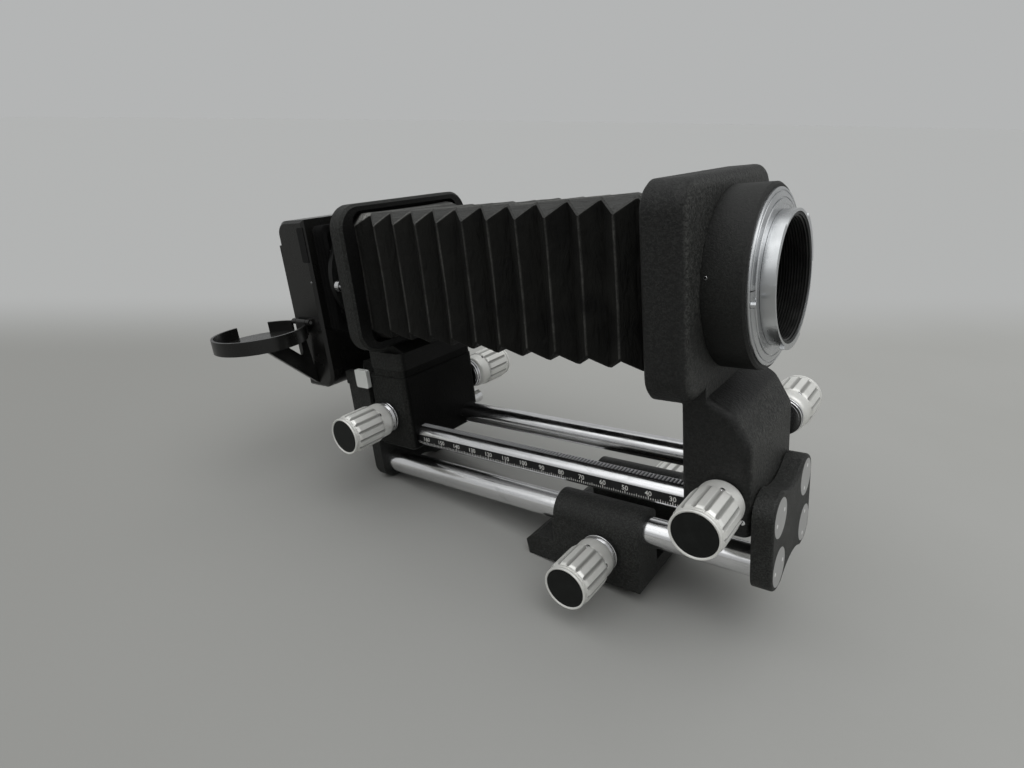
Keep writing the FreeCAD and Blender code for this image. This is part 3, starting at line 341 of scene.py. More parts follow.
LOOKS = {
    "black_casting": painted_casting("wrinkle_black", *BLACK_PAINT),
    "copier_enamel": painted_casting("copier_black", (0.0065, 0.0065, 0.006), (0.0115, 0.0115, 0.011), 1.6,
                                     0.03, 0.28, specular=0.45),
    "black_anodised": even_finish("anodised_black", (0.006, 0.0065, 0.0061), 0.42, 3.0, 0.02, 0.3),
    "satin_aluminium": turned_metal("satin_alu", (0.88, 0.88, 0.85), 1, 3.0, 0.5, 0.006, 0.1, 0.72),
    "chrome": rod_chrome(),
    "bright_steel": turned_metal("bright_steel", (0.7, 0.7, 0.7), 0, 5.0, 0.28),
    "satin_chrome": turned_metal("satin_chrome", (0.56, 0.57, 0.58), 0, 9.0, 0.25, 0.012, 0.35),
    "cap_black": even_finish("cap_black", (0.0042, 0.0052, 0.0047), 0.4, 1.6, 0.012, 0.22),
    "brass_bush": turned_metal("bush_brass", (0.62, 0.45, 0.2), 2, 4.0, 0.3),
    "bellows_leatherette": leatherette(),
    "hood_fabric": even_finish("hood_cloth", (0.004, 0.004, 0.004), 0.7, 2.4, 0.08, 0.2),
    "opal": frosted_plastic(),
    "scale_black": even_finish("scale_black", (0.0055, 0.0058, 0.0065), 0.42, 3.0, 0.01, 0.3),
}
KNOB_METAL = knob_metal()
WHITE_PAINT = even_finish("scale_white", (0.74, 0.74, 0.72), 0.5, 4.0, 0.01)
# white paint as a painted glint in the spanner sockets
SOCKET_GLINT = even_finish("painted_socket_glint", (0.94, 0.94, 0.94), 0.3, 4.0, 0.01)
RIB_BLACK = even_finish("rib_black", (0.014, 0.0142, 0.0138), 0.36, 3.0, 0.01, 0.5)
# near black: painted shade in pits, a screw slot, set screw holes and the copier's notch, and the black of the
# flange's index line
HOLE_SHADE_BLACK = even_finish("hole_shade_black", (0.003, 0.003, 0.003), 0.6, 2.0, 0.02, 0.2)
FINE_CHROME = turned_metal("polished_chrome", (0.86, 0.86, 0.87), 0, 5.0, 0.12, 0.003)
# painted shade on the lens carriage's and swing plate's faces that look along +X
CARRIAGE_PAINTED_SHADE = painted_casting("wrinkle_black_painted_shade", *BLACK_PAINT, INNER_PAINTED_SHADE, 0.09)

# nodes that look different from the rest of their slot, some with painted light and shade
NODE_LOOKS = {
    # painted light on the camera standard's faces that look along +X, and darker tones on its other faces as
    # painted shade
    "camera_standard": painted_casting("wrinkle_black_painted_light_and_shade", (0.0056, 0.0058, 0.0055), (0.025, 0.0257, 0.0243),
                                       0.85, 0.35, 0.52, ((0.015, 0.0155, 0.0146), (0.087, 0.0887, 0.0835))),
    "camera_mount_drum": painted_casting("wrinkle_black_drum", (0.006, 0.0063, 0.0058), (0.024, 0.025, 0.023),
                                         1.5, 0.2, 0.52),
    # painted shade on the lens panel's faces that look along +X and in its recess
    "lens_panel": painted_casting("wrinkle_black_panel_painted_shade", *BLACK_PAINT, INNER_PAINTED_SHADE, 0.2, (36.6, 126.8, 31.5)),
    "lens_carriage": CARRIAGE_PAINTED_SHADE,
    "lens_swing_plate": CARRIAGE_PAINTED_SHADE,
    "rod_end_discs": turned_metal("disc_alu", (0.61, 0.61, 0.61), 0, 3.0, 0.42, 0.02, 0.15),
    "copier_clamp_lever": turned_metal("lever_satin", (0.9, 0.92, 0.9), 1, 6.0, 0.5, 0.008, 0.1, 0.4),
    "rack_upper": rack_metal("rack_upper_steel", tip_z=49.9, root_z=49.3),
    "rack_lower": rack_metal("rack_lower_steel", tip_z=19.3, root_z=19.9),
}


def paint_nodes():
    """Gives each CAD node its own look or the look of its material slot."""
    for name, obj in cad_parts.items():
        for i, old in enumerate(obj.data.materials):
            obj.data.materials[i] = NODE_LOOKS.get(name) or LOOKS[old.name.split(".")[0]]


paint_nodes()


# ------------------------------------------------------------------ mesh helpers
# faces of a box whose points go round its one end and then, in the same order, round the other
BOX_FACES = ((0, 3, 2, 1), (4, 5, 6, 7), (0, 1, 5, 4), (1, 2, 6, 5), (2, 3, 7, 6), (3, 0, 4, 7))


def mesh_piece(name, verts_mm, faces, look, body, slot=None, smooth_deg=None):
    """A mesh from points in mm; it rides on body, unless body is None."""
    mesh = bpy.data.meshes.new(name)
    mesh.from_pydata([Vector(v) * MM for v in verts_mm], [], faces)
    mesh.validate()
    mesh.materials.append(look)
    obj = bpy.data.objects.new(name, mesh)
    bpy.context.scene.collection.objects.link(obj)
    if smooth_deg is not None:
        mesh.shade_smooth()
        mesh.set_sharp_from_angle(angle=math.radians(smooth_deg))
    if body:
        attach(obj, body)
    return obj


def axis_frame(axis):
    """Three unit vectors: along the axis, and two across it."""
    along = Vector(axis).normalized()
    side = Vector((0, 0, 1)) if abs(along.z) < 0.9 else Vector((1, 0, 0))
    across = along.cross(side).normalized()
    return along, across, along.cross(across)


def lathe(centre, axis, profile, segments=96, radius_at=None):
    """Vertices and faces of a closed turned solid. profile is (distance, radius) pairs from one end's middle
    to the other's; radius_at(distance, radius, angle) may change a radius round the axis."""
    along, u, v = axis_frame(axis)
    verts = []
    faces = []
    rows = []
    for s, r in profile:
        base = Vector(centre) + along * s
        if r < 1e-6:
            rows.append([len(verts)])
            verts.append(base)
            continue
        row = []
        for k in range(segments):
            a = 2 * math.pi * k / segments
            q = radius_at(s, r, a) if radius_at else r
            row.append(len(verts))
            verts.append(base + u * (q * math.cos(a)) + v * (q * math.sin(a)))
        rows.append(row)
    for lower, upper in zip(rows, rows[1:]):
        for k in range(segments):
            n = (k + 1) % segments
            if len(lower) == 1:
                faces.append((lower[0], upper[n], upper[k]))
            elif len(upper) == 1:
                faces.append((lower[k], lower[n], upper[0]))
            else:
                faces.append((lower[k], lower[n], upper[n], upper[k]))
    return verts, faces


def closed_ring(centre, axis, profile, segments=96):
    """A turned ring whose (distance, radius) profile is a closed loop."""
    verts, faces = lathe(centre, axis, profile + [profile[0]], segments)
    count = len(profile) * segments
    return verts[:count], [tuple(i % count for i in f) for f in faces]


def merged(parts):
    """Several (verts, faces) pairs as one."""
    verts = []
    faces = []
    for more, these in parts:
        start = len(verts)
        verts += list(more)
        faces += [tuple(i + start for i in f) for f in these]
    return verts, faces


# ------------------------------------------------------------------ bellows
BELLOWS_LOW, BELLOWS_HIGH = node_box("bellows_camera_half")
BELLOWS_X0 = node_box("bellows_lens_half")[0].x
BELLOWS_X1 = BELLOWS_HIGH.x

# shape of the folds, in mm
CLOTH = 0.5             # thickness
CRESTS = 11             # outer folds, counted from the camera end
FIRST_CREST = 32.3      # x of the first one
FIRST_PITCH = 13.4      # to the next one
PITCH_STEP = 0.1        # how much each pitch is shorter than the one before
SIDE_DEPTH = 5.6        # how far the sides fold in
TOP_DEPTH = 5.2         # how far the top and bottom fold in
PEAK_CUT = 0.9          # cut corners of the folds
END_CUT = 4.8           # cut corners of the last panel, at the lens end
CREST_ROUND = 0.3       # how much a crest is flattened
BESIDE_CREST = 0.7      # from a crest to the rings beside it
BESIDE_CORNER = 0.5     # from a corner to the points beside it
PLACE_JITTER = 0.3      # unevenness of the folds' places
DEPTH_JITTER = 0.05     # unevenness of their depth, as a share of it

# the flat frames at its ends, in mm
FRAME_WIDTH = 9.0
FRAME_THICK = 0.8
FRAME_INSET = 0.2
FRAME_CUT = 2.0         # cut corners

# how the cloth hangs, in mm
FAR_DROP = 2.6          # the far side of the top hangs lower than the near side
FAR_DROP_LENGTH = 12    # from the lens end, over which the drop comes in
DROP_OVER = 4           # it takes the points more than this above a ring's middle
BELLY = 2.1             # the underside hangs lower toward the camera end
BELLY_FROM, BELLY_LENGTH = -90, 80
TOP_RISE = 0.5
BOW = 0.4               # how far a ring's long edges bow in, where the sides stand out
WAVE = 0.24             # height of the waves along them

# x at which one stretch of folds between two bodies ends and the next begins, in mm
SHIFT_END = -99.6
TURN_END = -85.4
MEET = -25.4

SAME_X = 1e-9           # mm within which two places count as one

# kinds of points round a ring, which are also the places of their wear in a tuple
SIDE, TOP, UPPER_CORNER, LOWER_CORNER = range(4)
NO_WEAR = (0, 0, 0, 0)
SIDE_WEAR, TOP_WEAR = 0.3, 0.5
CORNER_WEAR, CORNER_WEAR_AT_LENS = 0.12, 0.6    # the second is added toward the lens end
FIRST_CORNER_WEAR = 1.7
LEAST_WEAR = 0.04


def fold_between(obj):
    """Bakes obj's placement into its mesh."""
    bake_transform(obj)


def clamped(t):
    return min(1.0, max(0.0, t))


def ring_points(half_y, z0, z1, cut, inset, sway=(0, 0, 0), per_side=8, far_drop=0.0):
    """One ring of a bellows: a rectangle with cut corners, as (y, z, kind). inset is (sides, top and bottom),
    sway is (bow, waves, phase) of the long sides, and far_drop is how much lower the far side of the top is."""
    y, low, high = half_y - inset[0], z0 + inset[1], z1 - inset[1]
    mid_z = (z0 + z1) / 2
    corners = [(-y, low + cut), (-y, high - cut), (-y + cut, high), (y - cut, high), (y, high - cut),
               (y, low + cut), (y - cut, low), (-y + cut, low)]
    points = []
    for i, (a, b) in enumerate(zip(corners, corners[1:] + corners[:1])):
        long_side = i % 2 == 0
        across = SIDE if i % 4 == 0 else TOP
        places = [0, 0.5]
        if long_side:
            beside = BESIDE_CORNER / math.hypot(b[0] - a[0], b[1] - a[1])
            places = [0, beside] + [k / per_side for k in range(1, per_side)] + [1 - beside]
        for t in places:
            p = [a[0] + (b[0] - a[0]) * t, a[1] + (b[1] - a[1]) * t]
            kind = UPPER_CORNER if p[1] > mid_z else LOWER_CORNER
            if long_side:
                waves = sway[1] * math.sin(7.0 * t + sway[2] + i) * min(1, 12 * t * (1 - t))
                bow = 4 * t * (1 - t) * sway[0] + waves
                middle_at = 0 if across == SIDE else (low + high) / 2
                p[across] -= math.copysign(bow, p[across] - middle_at)
                if 0 < t < 1:
                    kind = across
            if p[1] > mid_z + DROP_OVER:
                p[1] -= far_drop * (p[0] + half_y) / (2 * half_y)
            points.append((p[0], p[1], kind))
    return points


def fold_strip(name, rings, thick, slot):
    """A closed thin-walled strip through rings of (x, points, wear by kind); it has no parent yet."""
    verts = []
    wear = []
    count = len(rings[0][1])
    middle_z = sum(p[1] for p in rings[0][1]) / count
    for inner in (0, 1):
        for x, points, worn in rings:
            for y, z, kind in points:
                if inner:
                    d = math.hypot(y, z - middle_z)
                    y -= y / d * thick
                    z -= (z - middle_z) / d * thick
                verts.append((x, y, z))
                wear.append(worn[kind])
    rows = len(rings)
    faces = []
    for k in range(count):
        n = (k + 1) % count
        for r in range(rows - 1):
            a, b = r * count, (r + 1) * count
            faces.append((a + k, b + k, b + n, a + n))
            a, b = a + rows * count, b + rows * count
            faces.append((a + k, a + n, b + n, b + k))
        last, inside = (rows - 1) * count, rows * count
        faces.append((k, n, inside + n, inside + k))
        faces.append((last + k, inside + last + k, inside + last + n, last + n))
    obj = mesh_piece(name, verts, faces, LOOKS[slot], None, slot, 28)
    obj.data.attributes.new("crest", "FLOAT", "POINT").data.foreach_set("value", wear)
    return obj


def fold_stations():
    """Stations from the lens end to the camera end, each of (x, how far the sides stand out, inset of sides,
    inset of top and bottom, corner cut). Where the sides stand out, the top and bottom are folded in."""
    def fold(x, out):
        return (x, out, SIDE_DEPTH * (1 - out), TOP_DEPTH * out, PEAK_CUT)

    def near(x):
        return x + random.uniform(-PLACE_JITTER, PLACE_JITTER)

    random.seed(4)
    crests = [FIRST_CREST - k * FIRST_PITCH + k * (k - 1) / 2 * PITCH_STEP for k in range(CRESTS)]
    stations = [(BELLOWS_X0, 0, 1.2, 1.6, END_CUT), (BELLOWS_X0 + 4.4, 1, 0.1, 0.6, END_CUT),
                fold(crests[-1] - 6.6, 0.05)]
    for k in range(CRESTS - 1, 0, -1):
        stations.append(fold(near(crests[k]), 1 - random.uniform(0, DEPTH_JITTER)))
        stations.append(fold(near((crests[k] + crests[k - 1]) / 2), random.uniform(0, DEPTH_JITTER)))
    stations.append(fold(crests[0], 0.95))
    return stations


def fold_ring(stations, x, rising, at_crest, first_fold):
    """The ring at x as (x, points, wear by kind). rising says that its strip widens toward the lens end."""
    low, high = next((a, b) for a, b in zip(stations, stations[1:]) if a[0] - SAME_X <= x <= b[0] + SAME_X)
    t = (x - low[0]) / (high[0] - low[0])
    _, out, inset_y, inset_z, cut = (a + (b - a) * t for a, b in zip(low, high))
    if at_crest and 0.5 < out:
        inset_y += CREST_ROUND
    elif at_crest:
        inset_z += CREST_ROUND
    sway = (BOW * out, WAVE * math.sin(x * 3.1), x * 2.3)
    corner = (CORNER_WEAR + CORNER_WEAR_AT_LENS * clamped((20 - x) / 130) ** 3) if rising else LEAST_WEAR
    if first_fold:
        corner = FIRST_CORNER_WEAR
    edge = 1.0 if at_crest else 0.0
    worn = (edge * out * SIDE_WEAR, edge * (1 - out) * TOP_WEAR, corner, LEAST_WEAR)
    drop = FAR_DROP * clamped((x - stations[1][0]) / FAR_DROP_LENGTH)
    sag = BELLY * clamped((x - BELLY_FROM) / BELLY_LENGTH)
    points = ring_points(BELLOWS_HIGH.y, BELLOWS_LOW.z - sag, BELLOWS_HIGH.z + TOP_RISE, cut,
                         (inset_y, inset_z), sway, far_drop=drop)
    return x, points, worn


def end_frame(name, x0, x1, body):
    """A flat frame that holds one end of the bellows."""
    flat = ring_points(BELLOWS_HIGH.y, BELLOWS_LOW.z, BELLOWS_HIGH.z, FRAME_CUT, (FRAME_INSET, FRAME_INSET))
    obj = fold_strip(name, [(x0, flat, NO_WEAR), (x1, flat, NO_WEAR)], FRAME_WIDTH, "bellows_leatherette")
    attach(obj, body)
    return obj


def bellows():
    """Folds from the lens panel past the swing plate, lens carriage and rails to the camera standard. The first
    strip and the lens-end frame ride on the lens panel and the camera-end frame on the camera standard; the
    other strips ride on no body.
    """
    stations = fold_stations()
    start_x, end_x = stations[1][0], stations[-1][0]
    runs = [(start_x, SHIFT_END, ("lens_panel", "lens_swing")),
            (SHIFT_END, TURN_END, ("lens_swing", "lens_carriage")),
            (TURN_END, MEET, ("lens_carriage", "rails")),
            (MEET, end_x, ("rails", "camera_standard"))]
    breaks = [s[0] for s in stations]
    rising_from = {a[0]: a[1] > b[1] for a, b in zip(stations, stations[1:])}
    cuts = sorted(set(breaks + [SHIFT_END, TURN_END, MEET]))
    for i, (x0, x1) in enumerate(zip(cuts, cuts[1:])):
        xs = [x0, x1]
        if x0 in breaks and x1 - x0 > 2:
            xs.insert(1, x0 + BESIDE_CREST)
        if x1 in breaks and x1 - x0 > 2:
            xs.insert(-1, x1 - BESIDE_CREST)
        rising = rising_from[max(x for x in rising_from if x <= x0 + SAME_X)]
        rings = [fold_ring(stations, x, rising, x in breaks, x0 == start_x) for x in xs]
        obj = fold_strip(f"bellows_fold_{i + 1:02d}", rings, CLOTH, "bellows_leatherette")
        if i == 0:
            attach(obj, "lens_panel")
            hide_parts("bellows_lens_half")
        for xa, xb, bodies in runs:
            if xa - SAME_X <= x0 and x1 <= xb + SAME_X:
                fold_between(obj)
    end_frame("bellows_end_lens", BELLOWS_X0, BELLOWS_X0 + FRAME_THICK, "lens_panel")
    camera_frame = end_frame("bellows_end_camera", end_x, BELLOWS_X1, "camera_standard")
    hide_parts("bellows_camera_half")


bellows()


# ------------------------------------------------------------------ copier hood
HOOD_FOLDS = 6
HOOD_OUT, HOOD_IN = 0.3, 3.2        # inset of the outer and inner folds, in mm


def hood():
    """Three shallow folds between the copier and the hood ring."""
    low, high = node_box("copier_hood")
    step = (high.x - low.x) / HOOD_FOLDS
    for i in range(HOOD_FOLDS):
        rings = []
        for k in (i, i + 1):
            inset = HOOD_OUT if k % 2 == 0 else HOOD_IN
            points = ring_points(high.y, low.z, high.z, 1.6, (inset, inset), per_side=4)
            rings.append((low.x + k * step, points, NO_WEAR))
        obj = fold_strip(f"hood_fold_{i + 1}", rings, CLOTH, "hood_fabric")
        fold_between(obj)
        if i == 0:
            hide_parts("copier_hood")


hood()


# ------------------------------------------------------------------ knobs
# in mm, with distances from the collar's back
KNOB_LONG = 25.0
COLLAR_R = 8.62
GRIP_R = 9.5
CAP_R = 8.07
FLUTES = 14
GRIP_SEGMENTS = FLUTES * 24
GROOVE_R = 8.68                         # radius to a groove's bottom
GROOVE_HALF = 1.05                      # half its width
GROOVES_FROM, GROOVES_TO = 6.8, 22.5
RUN_OUT = 1.5                           # length over which a groove runs out at the collar
LAND_FLAT = 0.14                        # how far the lands' middles lie inside the grip's radius
# where the flutes' bottoms take painted shade, in mm
FLUTE_SHADE_FROM, FLUTE_SHADE_TO, FLUTE_SHADE_R = 7.3, 22.1, 9.45


def grip_profile():
    """(distance from the collar's back, radius) of a knob's outside, back to front, then down to the cap."""
    return [(0.0, 0), (0.0, 6.7), (0.06, 7.2), (0.3, 7.72), (0.75, 8.14), (1.3, 8.42), (2.0, 8.56), (2.8, 8.6),
            (6.2, 8.6), (6.75, 8.6), (6.9, 8.66), (7.1, 8.86), (7.4, 9.1), (7.8, 9.3), (8.3, 9.43), (8.9, 9.5),
            (12.0, 9.5), (17.0, 9.5), (20.8, 9.5), (21.1, 9.49), (21.4, 9.42), (21.7, 9.28), (22.0, 9.1),
            (22.25, 8.95), (22.5, 8.87), (23.2, 8.85), (23.3, 8.8), (23.36, 8.6), (23.56, 8.58), (23.64, 8.78),
            (23.76, 8.92), (24.4, 8.98), (24.7, 8.96), (24.9, 8.88), (25.0, 8.68), (24.96, 8.42), (24.86, 8.2),
            (24.75, 8.1), (23.9, 8.1), (23.9, 0)]


def across_groove(angle):
    """Distance in mm round the grip from the nearest groove's middle, and the angle from the land's middle."""
    pitch = 2 * math.pi / FLUTES
    turn = (angle / pitch) % 1.0
    from_groove = (0.5 - abs(turn - 0.5)) * pitch
    return from_groove * GRIP_R, pitch / 2 - from_groove


def fluted(distance, radius, angle):
    """Flat lands with round-bottomed grooves between them, which run out into the chamfer in front."""
    if distance < GROOVES_FROM or distance > GROOVES_TO or radius < COLLAR_R:
        return radius
    across, from_land = across_groove(angle)
    land = min(radius, (GRIP_R - LAND_FLAT) / math.cos(from_land) * (radius / GRIP_R))
    if across >= GROOVE_HALF:
        return land
    run_out = clamped((distance - GROOVES_FROM) / RUN_OUT)
    round_bottom = 0.5 + 0.5 * math.cos(math.pi * across / GROOVE_HALF)
    deep = (GRIP_R - GROOVE_R) * round_bottom ** 0.8 * math.sqrt(run_out * (2 - run_out))
    return max(GROOVE_R, min(land, GRIP_R - 0.02 - deep))


def knob(name, side, turn_deg, washers, holes):
    """A fluted aluminium knob with a bright lip and a black inlaid cap, in place of the two CAD nodes. side is
    -1 near and 1 far. washers are (start, end, radius) of chrome rings behind it, with distances back from its
    collar, and holes are (angle, distance from the collar's back) of its set screws."""
    knob_node, cap_node = name + "_knob", name + "_knob_cap"
    low, high = node_box(knob_node)
    y_back = low.y + KNOB_LONG if side < 0 else high.y - KNOB_LONG
    centre = Vector(((low.x + high.x) / 2, y_back, (low.z + high.z) / 2))
    axis = (0, side, 0)
    along, u, v = axis_frame(axis)
    turn = math.radians(turn_deg)
    verts, faces = lathe(centre, axis, grip_profile(), GRIP_SEGMENTS, lambda s, r, a: fluted(s, r, a + turn))
    grip = mesh_piece("fluted_" + knob_node, verts, faces, KNOB_METAL, name, "satin_aluminium", 30)
    # painted shade in the bottoms of the flutes, darkest in their middles
    flute_shade = []
    for point in verts:
        off = point - centre
        distance, radius = off.dot(along), math.hypot(off.dot(u), off.dot(v))
        across = across_groove(math.atan2(off.dot(v), off.dot(u)) + turn)[0] / GROOVE_HALF
        in_flutes = FLUTE_SHADE_FROM < distance < FLUTE_SHADE_TO and radius < FLUTE_SHADE_R
        flute_shade.append(max(0.0, 1 - across ** 2) if in_flutes else 0.0)
    grip.data.attributes.new("groove", "FLOAT", "POINT").data.foreach_set("value", flute_shade)
    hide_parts(knob_node)
    cap_rows = [(23.9, 0), (23.9, CAP_R), (24.56, CAP_R), (24.66, 8.0), (24.7, 7.86), (24.69, 7.0),
                (24.66, 4.0), (24.65, 0)]
    cap = mesh_piece("inlaid_" + cap_node, *lathe(centre, axis, cap_rows), LOOKS["cap_black"], name,
                     "cap_black", 35)
    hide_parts(cap_node)
    for i, (angle, distance) in enumerate(holes):
        a = math.radians(angle)
        outward = Vector((math.cos(a), 0, math.sin(a)))
        foot = centre + along * distance + outward * 8.5
        # the set screw's hole: a dark plug that paints its shade, with a chrome rim
        hole = [(-0.6, 0), (-0.6, 0.72), (0.26, 0.72), (0.3, 0.66), (0.3, 0)]
        mesh_piece(f"{name}_set_screw_{i + 1}", *lathe(foot, outward, hole, 28), HOLE_SHADE_BLACK, name, smooth_deg=30)
        rim = [(-0.5, 0.7), (-0.5, 0.92), (0.24, 0.92), (0.34, 0.82), (0.34, 0.7)]
        mesh_piece(f"{name}_set_screw_rim_{i + 1}", *closed_ring(foot, outward, rim, 28), FINE_CHROME, name,
                   smooth_deg=30)
    for i, (start, end, radius) in enumerate(washers):
        rows = [(-start, 6.3), (-start, radius - 0.12), (-start - 0.12, radius), (-end + 0.12, radius),
                (-end, radius - 0.12), (-end, 6.3)]
        mesh_piece(f"{name}_washer_{i + 1}", *closed_ring(centre, axis, rows), FINE_CHROME, name, "chrome", 30)


LOCK_RINGS = ((0.5, 1.3, 7.9), (1.9, 2.8, 7.7))
LOCK_HOLES = ((60, 7.0),)
for knob_args in (("camera_drive", -1, 5.1, (), ((72, 7.0),)),
                  ("lens_drive", -1, 12.4, ((1.3, 1.9, 7.6), (2.6, 3.3, 7.6)), ((39, 7.2),)),
                  ("block_drive", -1, 15.9, ((1.5, 2.3, 8.2),), ((87, 7.2), (15, 7.2))),
                  ("camera_lock", 1, 8, LOCK_RINGS, LOCK_HOLES),
                  ("lens_lock", 1, 2, LOCK_RINGS, LOCK_HOLES),
                  ("block_lock", 1, 13, LOCK_RINGS, LOCK_HOLES)):
    knob(*knob_args)


# ------------------------------------------------------------------ scale on the near upper rod
SCALE_ZERO_X = CAMERA_PLATE_LOW.x
TICK_FOOT = 0.06        # from the strip's lower edge, in mm
TICK_PROUD = 0.03
NUMBER_SIZE = 2.9
NUMBER_FOOT = 1.68
NUMBER_PROUD = 0.01
NUMBER_HALF_THICK = 0.02


def number_mesh(text, x, y, z):
    """A number as (verts in mm, faces), centred at x, with its middle plane at y and its foot at z."""
    curve = bpy.data.curves.new("number", "FONT")
    curve.body = text
    curve.size = NUMBER_SIZE * MM
    curve.align_x = "CENTER"
    curve.extrude = NUMBER_HALF_THICK * MM
    curve.offset = 0.02 * MM
    curve.resolution_u = 3
    obj = bpy.data.objects.new("number", curve)
    bpy.context.scene.collection.objects.link(obj)
    bpy.context.view_layer.update()
    mesh = bpy.data.meshes.new_from_object(obj)
    verts = [Vector((x * MM + v.co.x, y * MM - v.co.z, z * MM + v.co.y)) * MM_PER_M for v in mesh.vertices]
    faces = [tuple(f.vertices) for f in mesh.polygons]
    bpy.data.objects.remove(obj)
    bpy.data.curves.remove(curve)
    bpy.data.meshes.remove(mesh)
    return verts, faces


def scale():
    """White millimetre ticks and a number at each ten, on the strip's outer face."""
    low, high = node_box("scale_strip")
    first = math.ceil(SCALE_ZERO_X - high.x + 0.5)
    last = math.floor(SCALE_ZERO_X - low.x - 0.5)
    ticks = []
    for n in range(first, last + 1):
        x = SCALE_ZERO_X - n
        z0 = low.z + TICK_FOOT
        z1 = z0 + (1.5 if n % 10 == 0 else (1.2 if n % 5 == 0 else 0.85))
        half = 0.14 if n % 10 == 0 else 0.12
        corners = ((x - half, z0), (x + half, z0), (x + half, z1), (x - half, z1))
        verts = [(cx, y, cz) for y in (low.y + 0.02, low.y - TICK_PROUD) for cx, cz in corners]
        ticks.append((verts, BOX_FACES))
    mesh_piece("scale_ticks", *merged(ticks), WHITE_PAINT, "rails")
    numbers = [number_mesh(str(n), SCALE_ZERO_X - n, low.y - NUMBER_PROUD, low.z + NUMBER_FOOT)
               for n in range(10, last + 1, 10)]
    mesh_piece("scale_numbers", *merged(numbers), WHITE_PAINT, "rails")


scale()


# ------------------------------------------------------------------ small fittings
SOCKETS_FROM_CENTRE = 4.45
SOCKET_TURNS = (("rod_upper_near", 16), ("rod_upper_far", 69), ("rod_lower_near", 7), ("rod_lower_far", 75))


def spanner_sockets():
    """Two tiny sockets in each disc at the rods' ends, painted white as a glint."""
    rows = [(-0.2, 0), (-0.2, 0.8), (0.02, 0.8), (0.06, 0.7), (0.05, 0.3), (0.05, 0)]
    parts = []
    for x, side in ((CAMERA_PLATE_HIGH.x, 1), (LENS_PLATE_LOW.x, -1)):
        for rod, turn in SOCKET_TURNS:
            y, z = middle(rod, 1), middle(rod, 2)
            for angle in (turn, turn + 180):
                a = math.radians(angle)
                centre = (x, y + SOCKETS_FROM_CENTRE * math.cos(a), z + SOCKETS_FROM_CENTRE * math.sin(a))
                parts.append(lathe(centre, (side, 0, 0), rows, 20))
    mesh_piece("disc_spanner_sockets", *merged(parts), SOCKET_GLINT, "rails", smooth_deg=40)


def bore_ribs():
    """Light-trap ribs inside the camera mount's bore."""
    low, high = node_box("camera_mount_liner")
    radius = (high.z - low.z) / 2 - 1.0
    rows = [(0, radius + 0.02), (0.25, radius - 0.4), (0.4, radius - 0.4), (0.6, radius + 0.02)]
    parts = []
    x = low.x + 1.0
    while x < high.x - 0.7:
        parts.append(closed_ring((x, 0, AXIS_Z), (1, 0, 0), rows))
        x += 0.95
    mesh_piece("mount_light_ribs", *merged(parts), RIB_BLACK, "camera_mount", "black_anodised", 30)


def flange():
    """The bright flange with its turned steps and grooves, and an index line by the latch pin."""
    centre = Vector((node_box("camera_mount_flange")[0].x, 0, AXIS_Z))
    profile = [(0, 21.6), (0, 29.2), (0.6, 29.2), (0.86, 28.95), (0.9, 28.25), (0.68, 28.15), (0.68, 27.85),
               (1.0, 27.75), (1.46, 26.05), (1.2, 25.95), (1.2, 25.6), (1.62, 25.5), (1.8, 25.3), (1.8, 23.9),
               (1.72, 23.8), (1.72, 21.6)]
    piece = mesh_piece("turned_mount_flange", *closed_ring(centre, (1, 0, 0), profile, 160),
                       LOOKS["satin_chrome"], "camera_mount", "satin_chrome", 25)
    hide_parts("camera_mount_flange")
    a = math.radians(177.4)
    outward = Vector((0, math.cos(a), math.sin(a)))
    across = Vector((0, -math.sin(a), math.cos(a))) * 0.14
    verts = []
    for lift in (-0.1, 0.04):
        for r, x, q in ((25.9, 1.46, -1), (28.9, 0.9, -1), (28.9, 0.9, 1), (25.9, 1.46, 1)):
            verts.append(centre + outward * r + across * q + Vector((x + lift, 0, 0)))
    mesh_piece("flange_index_line", verts, BOX_FACES, HOLE_SHADE_BLACK, "camera_mount")


def slotted_screw(name, centre, axis, radius, body, slot_deg):
    """A chrome cheese-head screw set into a surface."""
    head = 0.5
    along, u, v = axis_frame(axis)
    rows = [(-0.6, 0), (-0.6, radius), (head - 0.12, radius), (head, radius - 0.14), (head, 0)]
    mesh_piece(name, *lathe(centre, axis, rows, 40), FINE_CHROME, body, smooth_deg=35)
    a = math.radians(slot_deg)
    across = u * math.cos(a) + v * math.sin(a)
    long, short = across * (radius * 0.9), along.cross(across) * (radius * 0.14)
    base = Vector(centre) + along * (head + 0.01)
    verts = []
    for lift in (-0.1, 0.02):
        for p, q in ((-1, -1), (1, -1), (1, 1), (-1, 1)):
            verts.append(base + along * lift + long * p + short * q)
    # the slot is a dark bar that paints its shade
    mesh_piece(name + "_slot", verts, BOX_FACES, HOLE_SHADE_BLACK, body)


def pit(name, centre, axis, radius, body):
    """A small drilled mark: a dark floor that paints the hole's shade, with a fine bright edge."""
    floor = [(-0.4, 0), (-0.4, radius), (0.0, radius), (0.03, radius * 0.9), (0.03, 0)]
    mesh_piece(name, *lathe(centre, axis, floor, 24), HOLE_SHADE_BLACK, body, smooth_deg=30)
    edge = [(-0.3, radius), (-0.3, radius * 1.25), (0.0, radius * 1.25), (0.05, radius * 1.12), (0.05, radius)]
    mesh_piece(name + "_edge", *closed_ring(centre, axis, edge, 24), FINE_CHROME, body, smooth_deg=30)


COPIER_NEAR_Y = -32         # the housing's near face
NOTCH_X = (-155.2, -150.3)
NOTCH_Z = (134.4, 151.4)
NOTCH_DEEP, NOTCH_PROUD = 0.3, 0.05


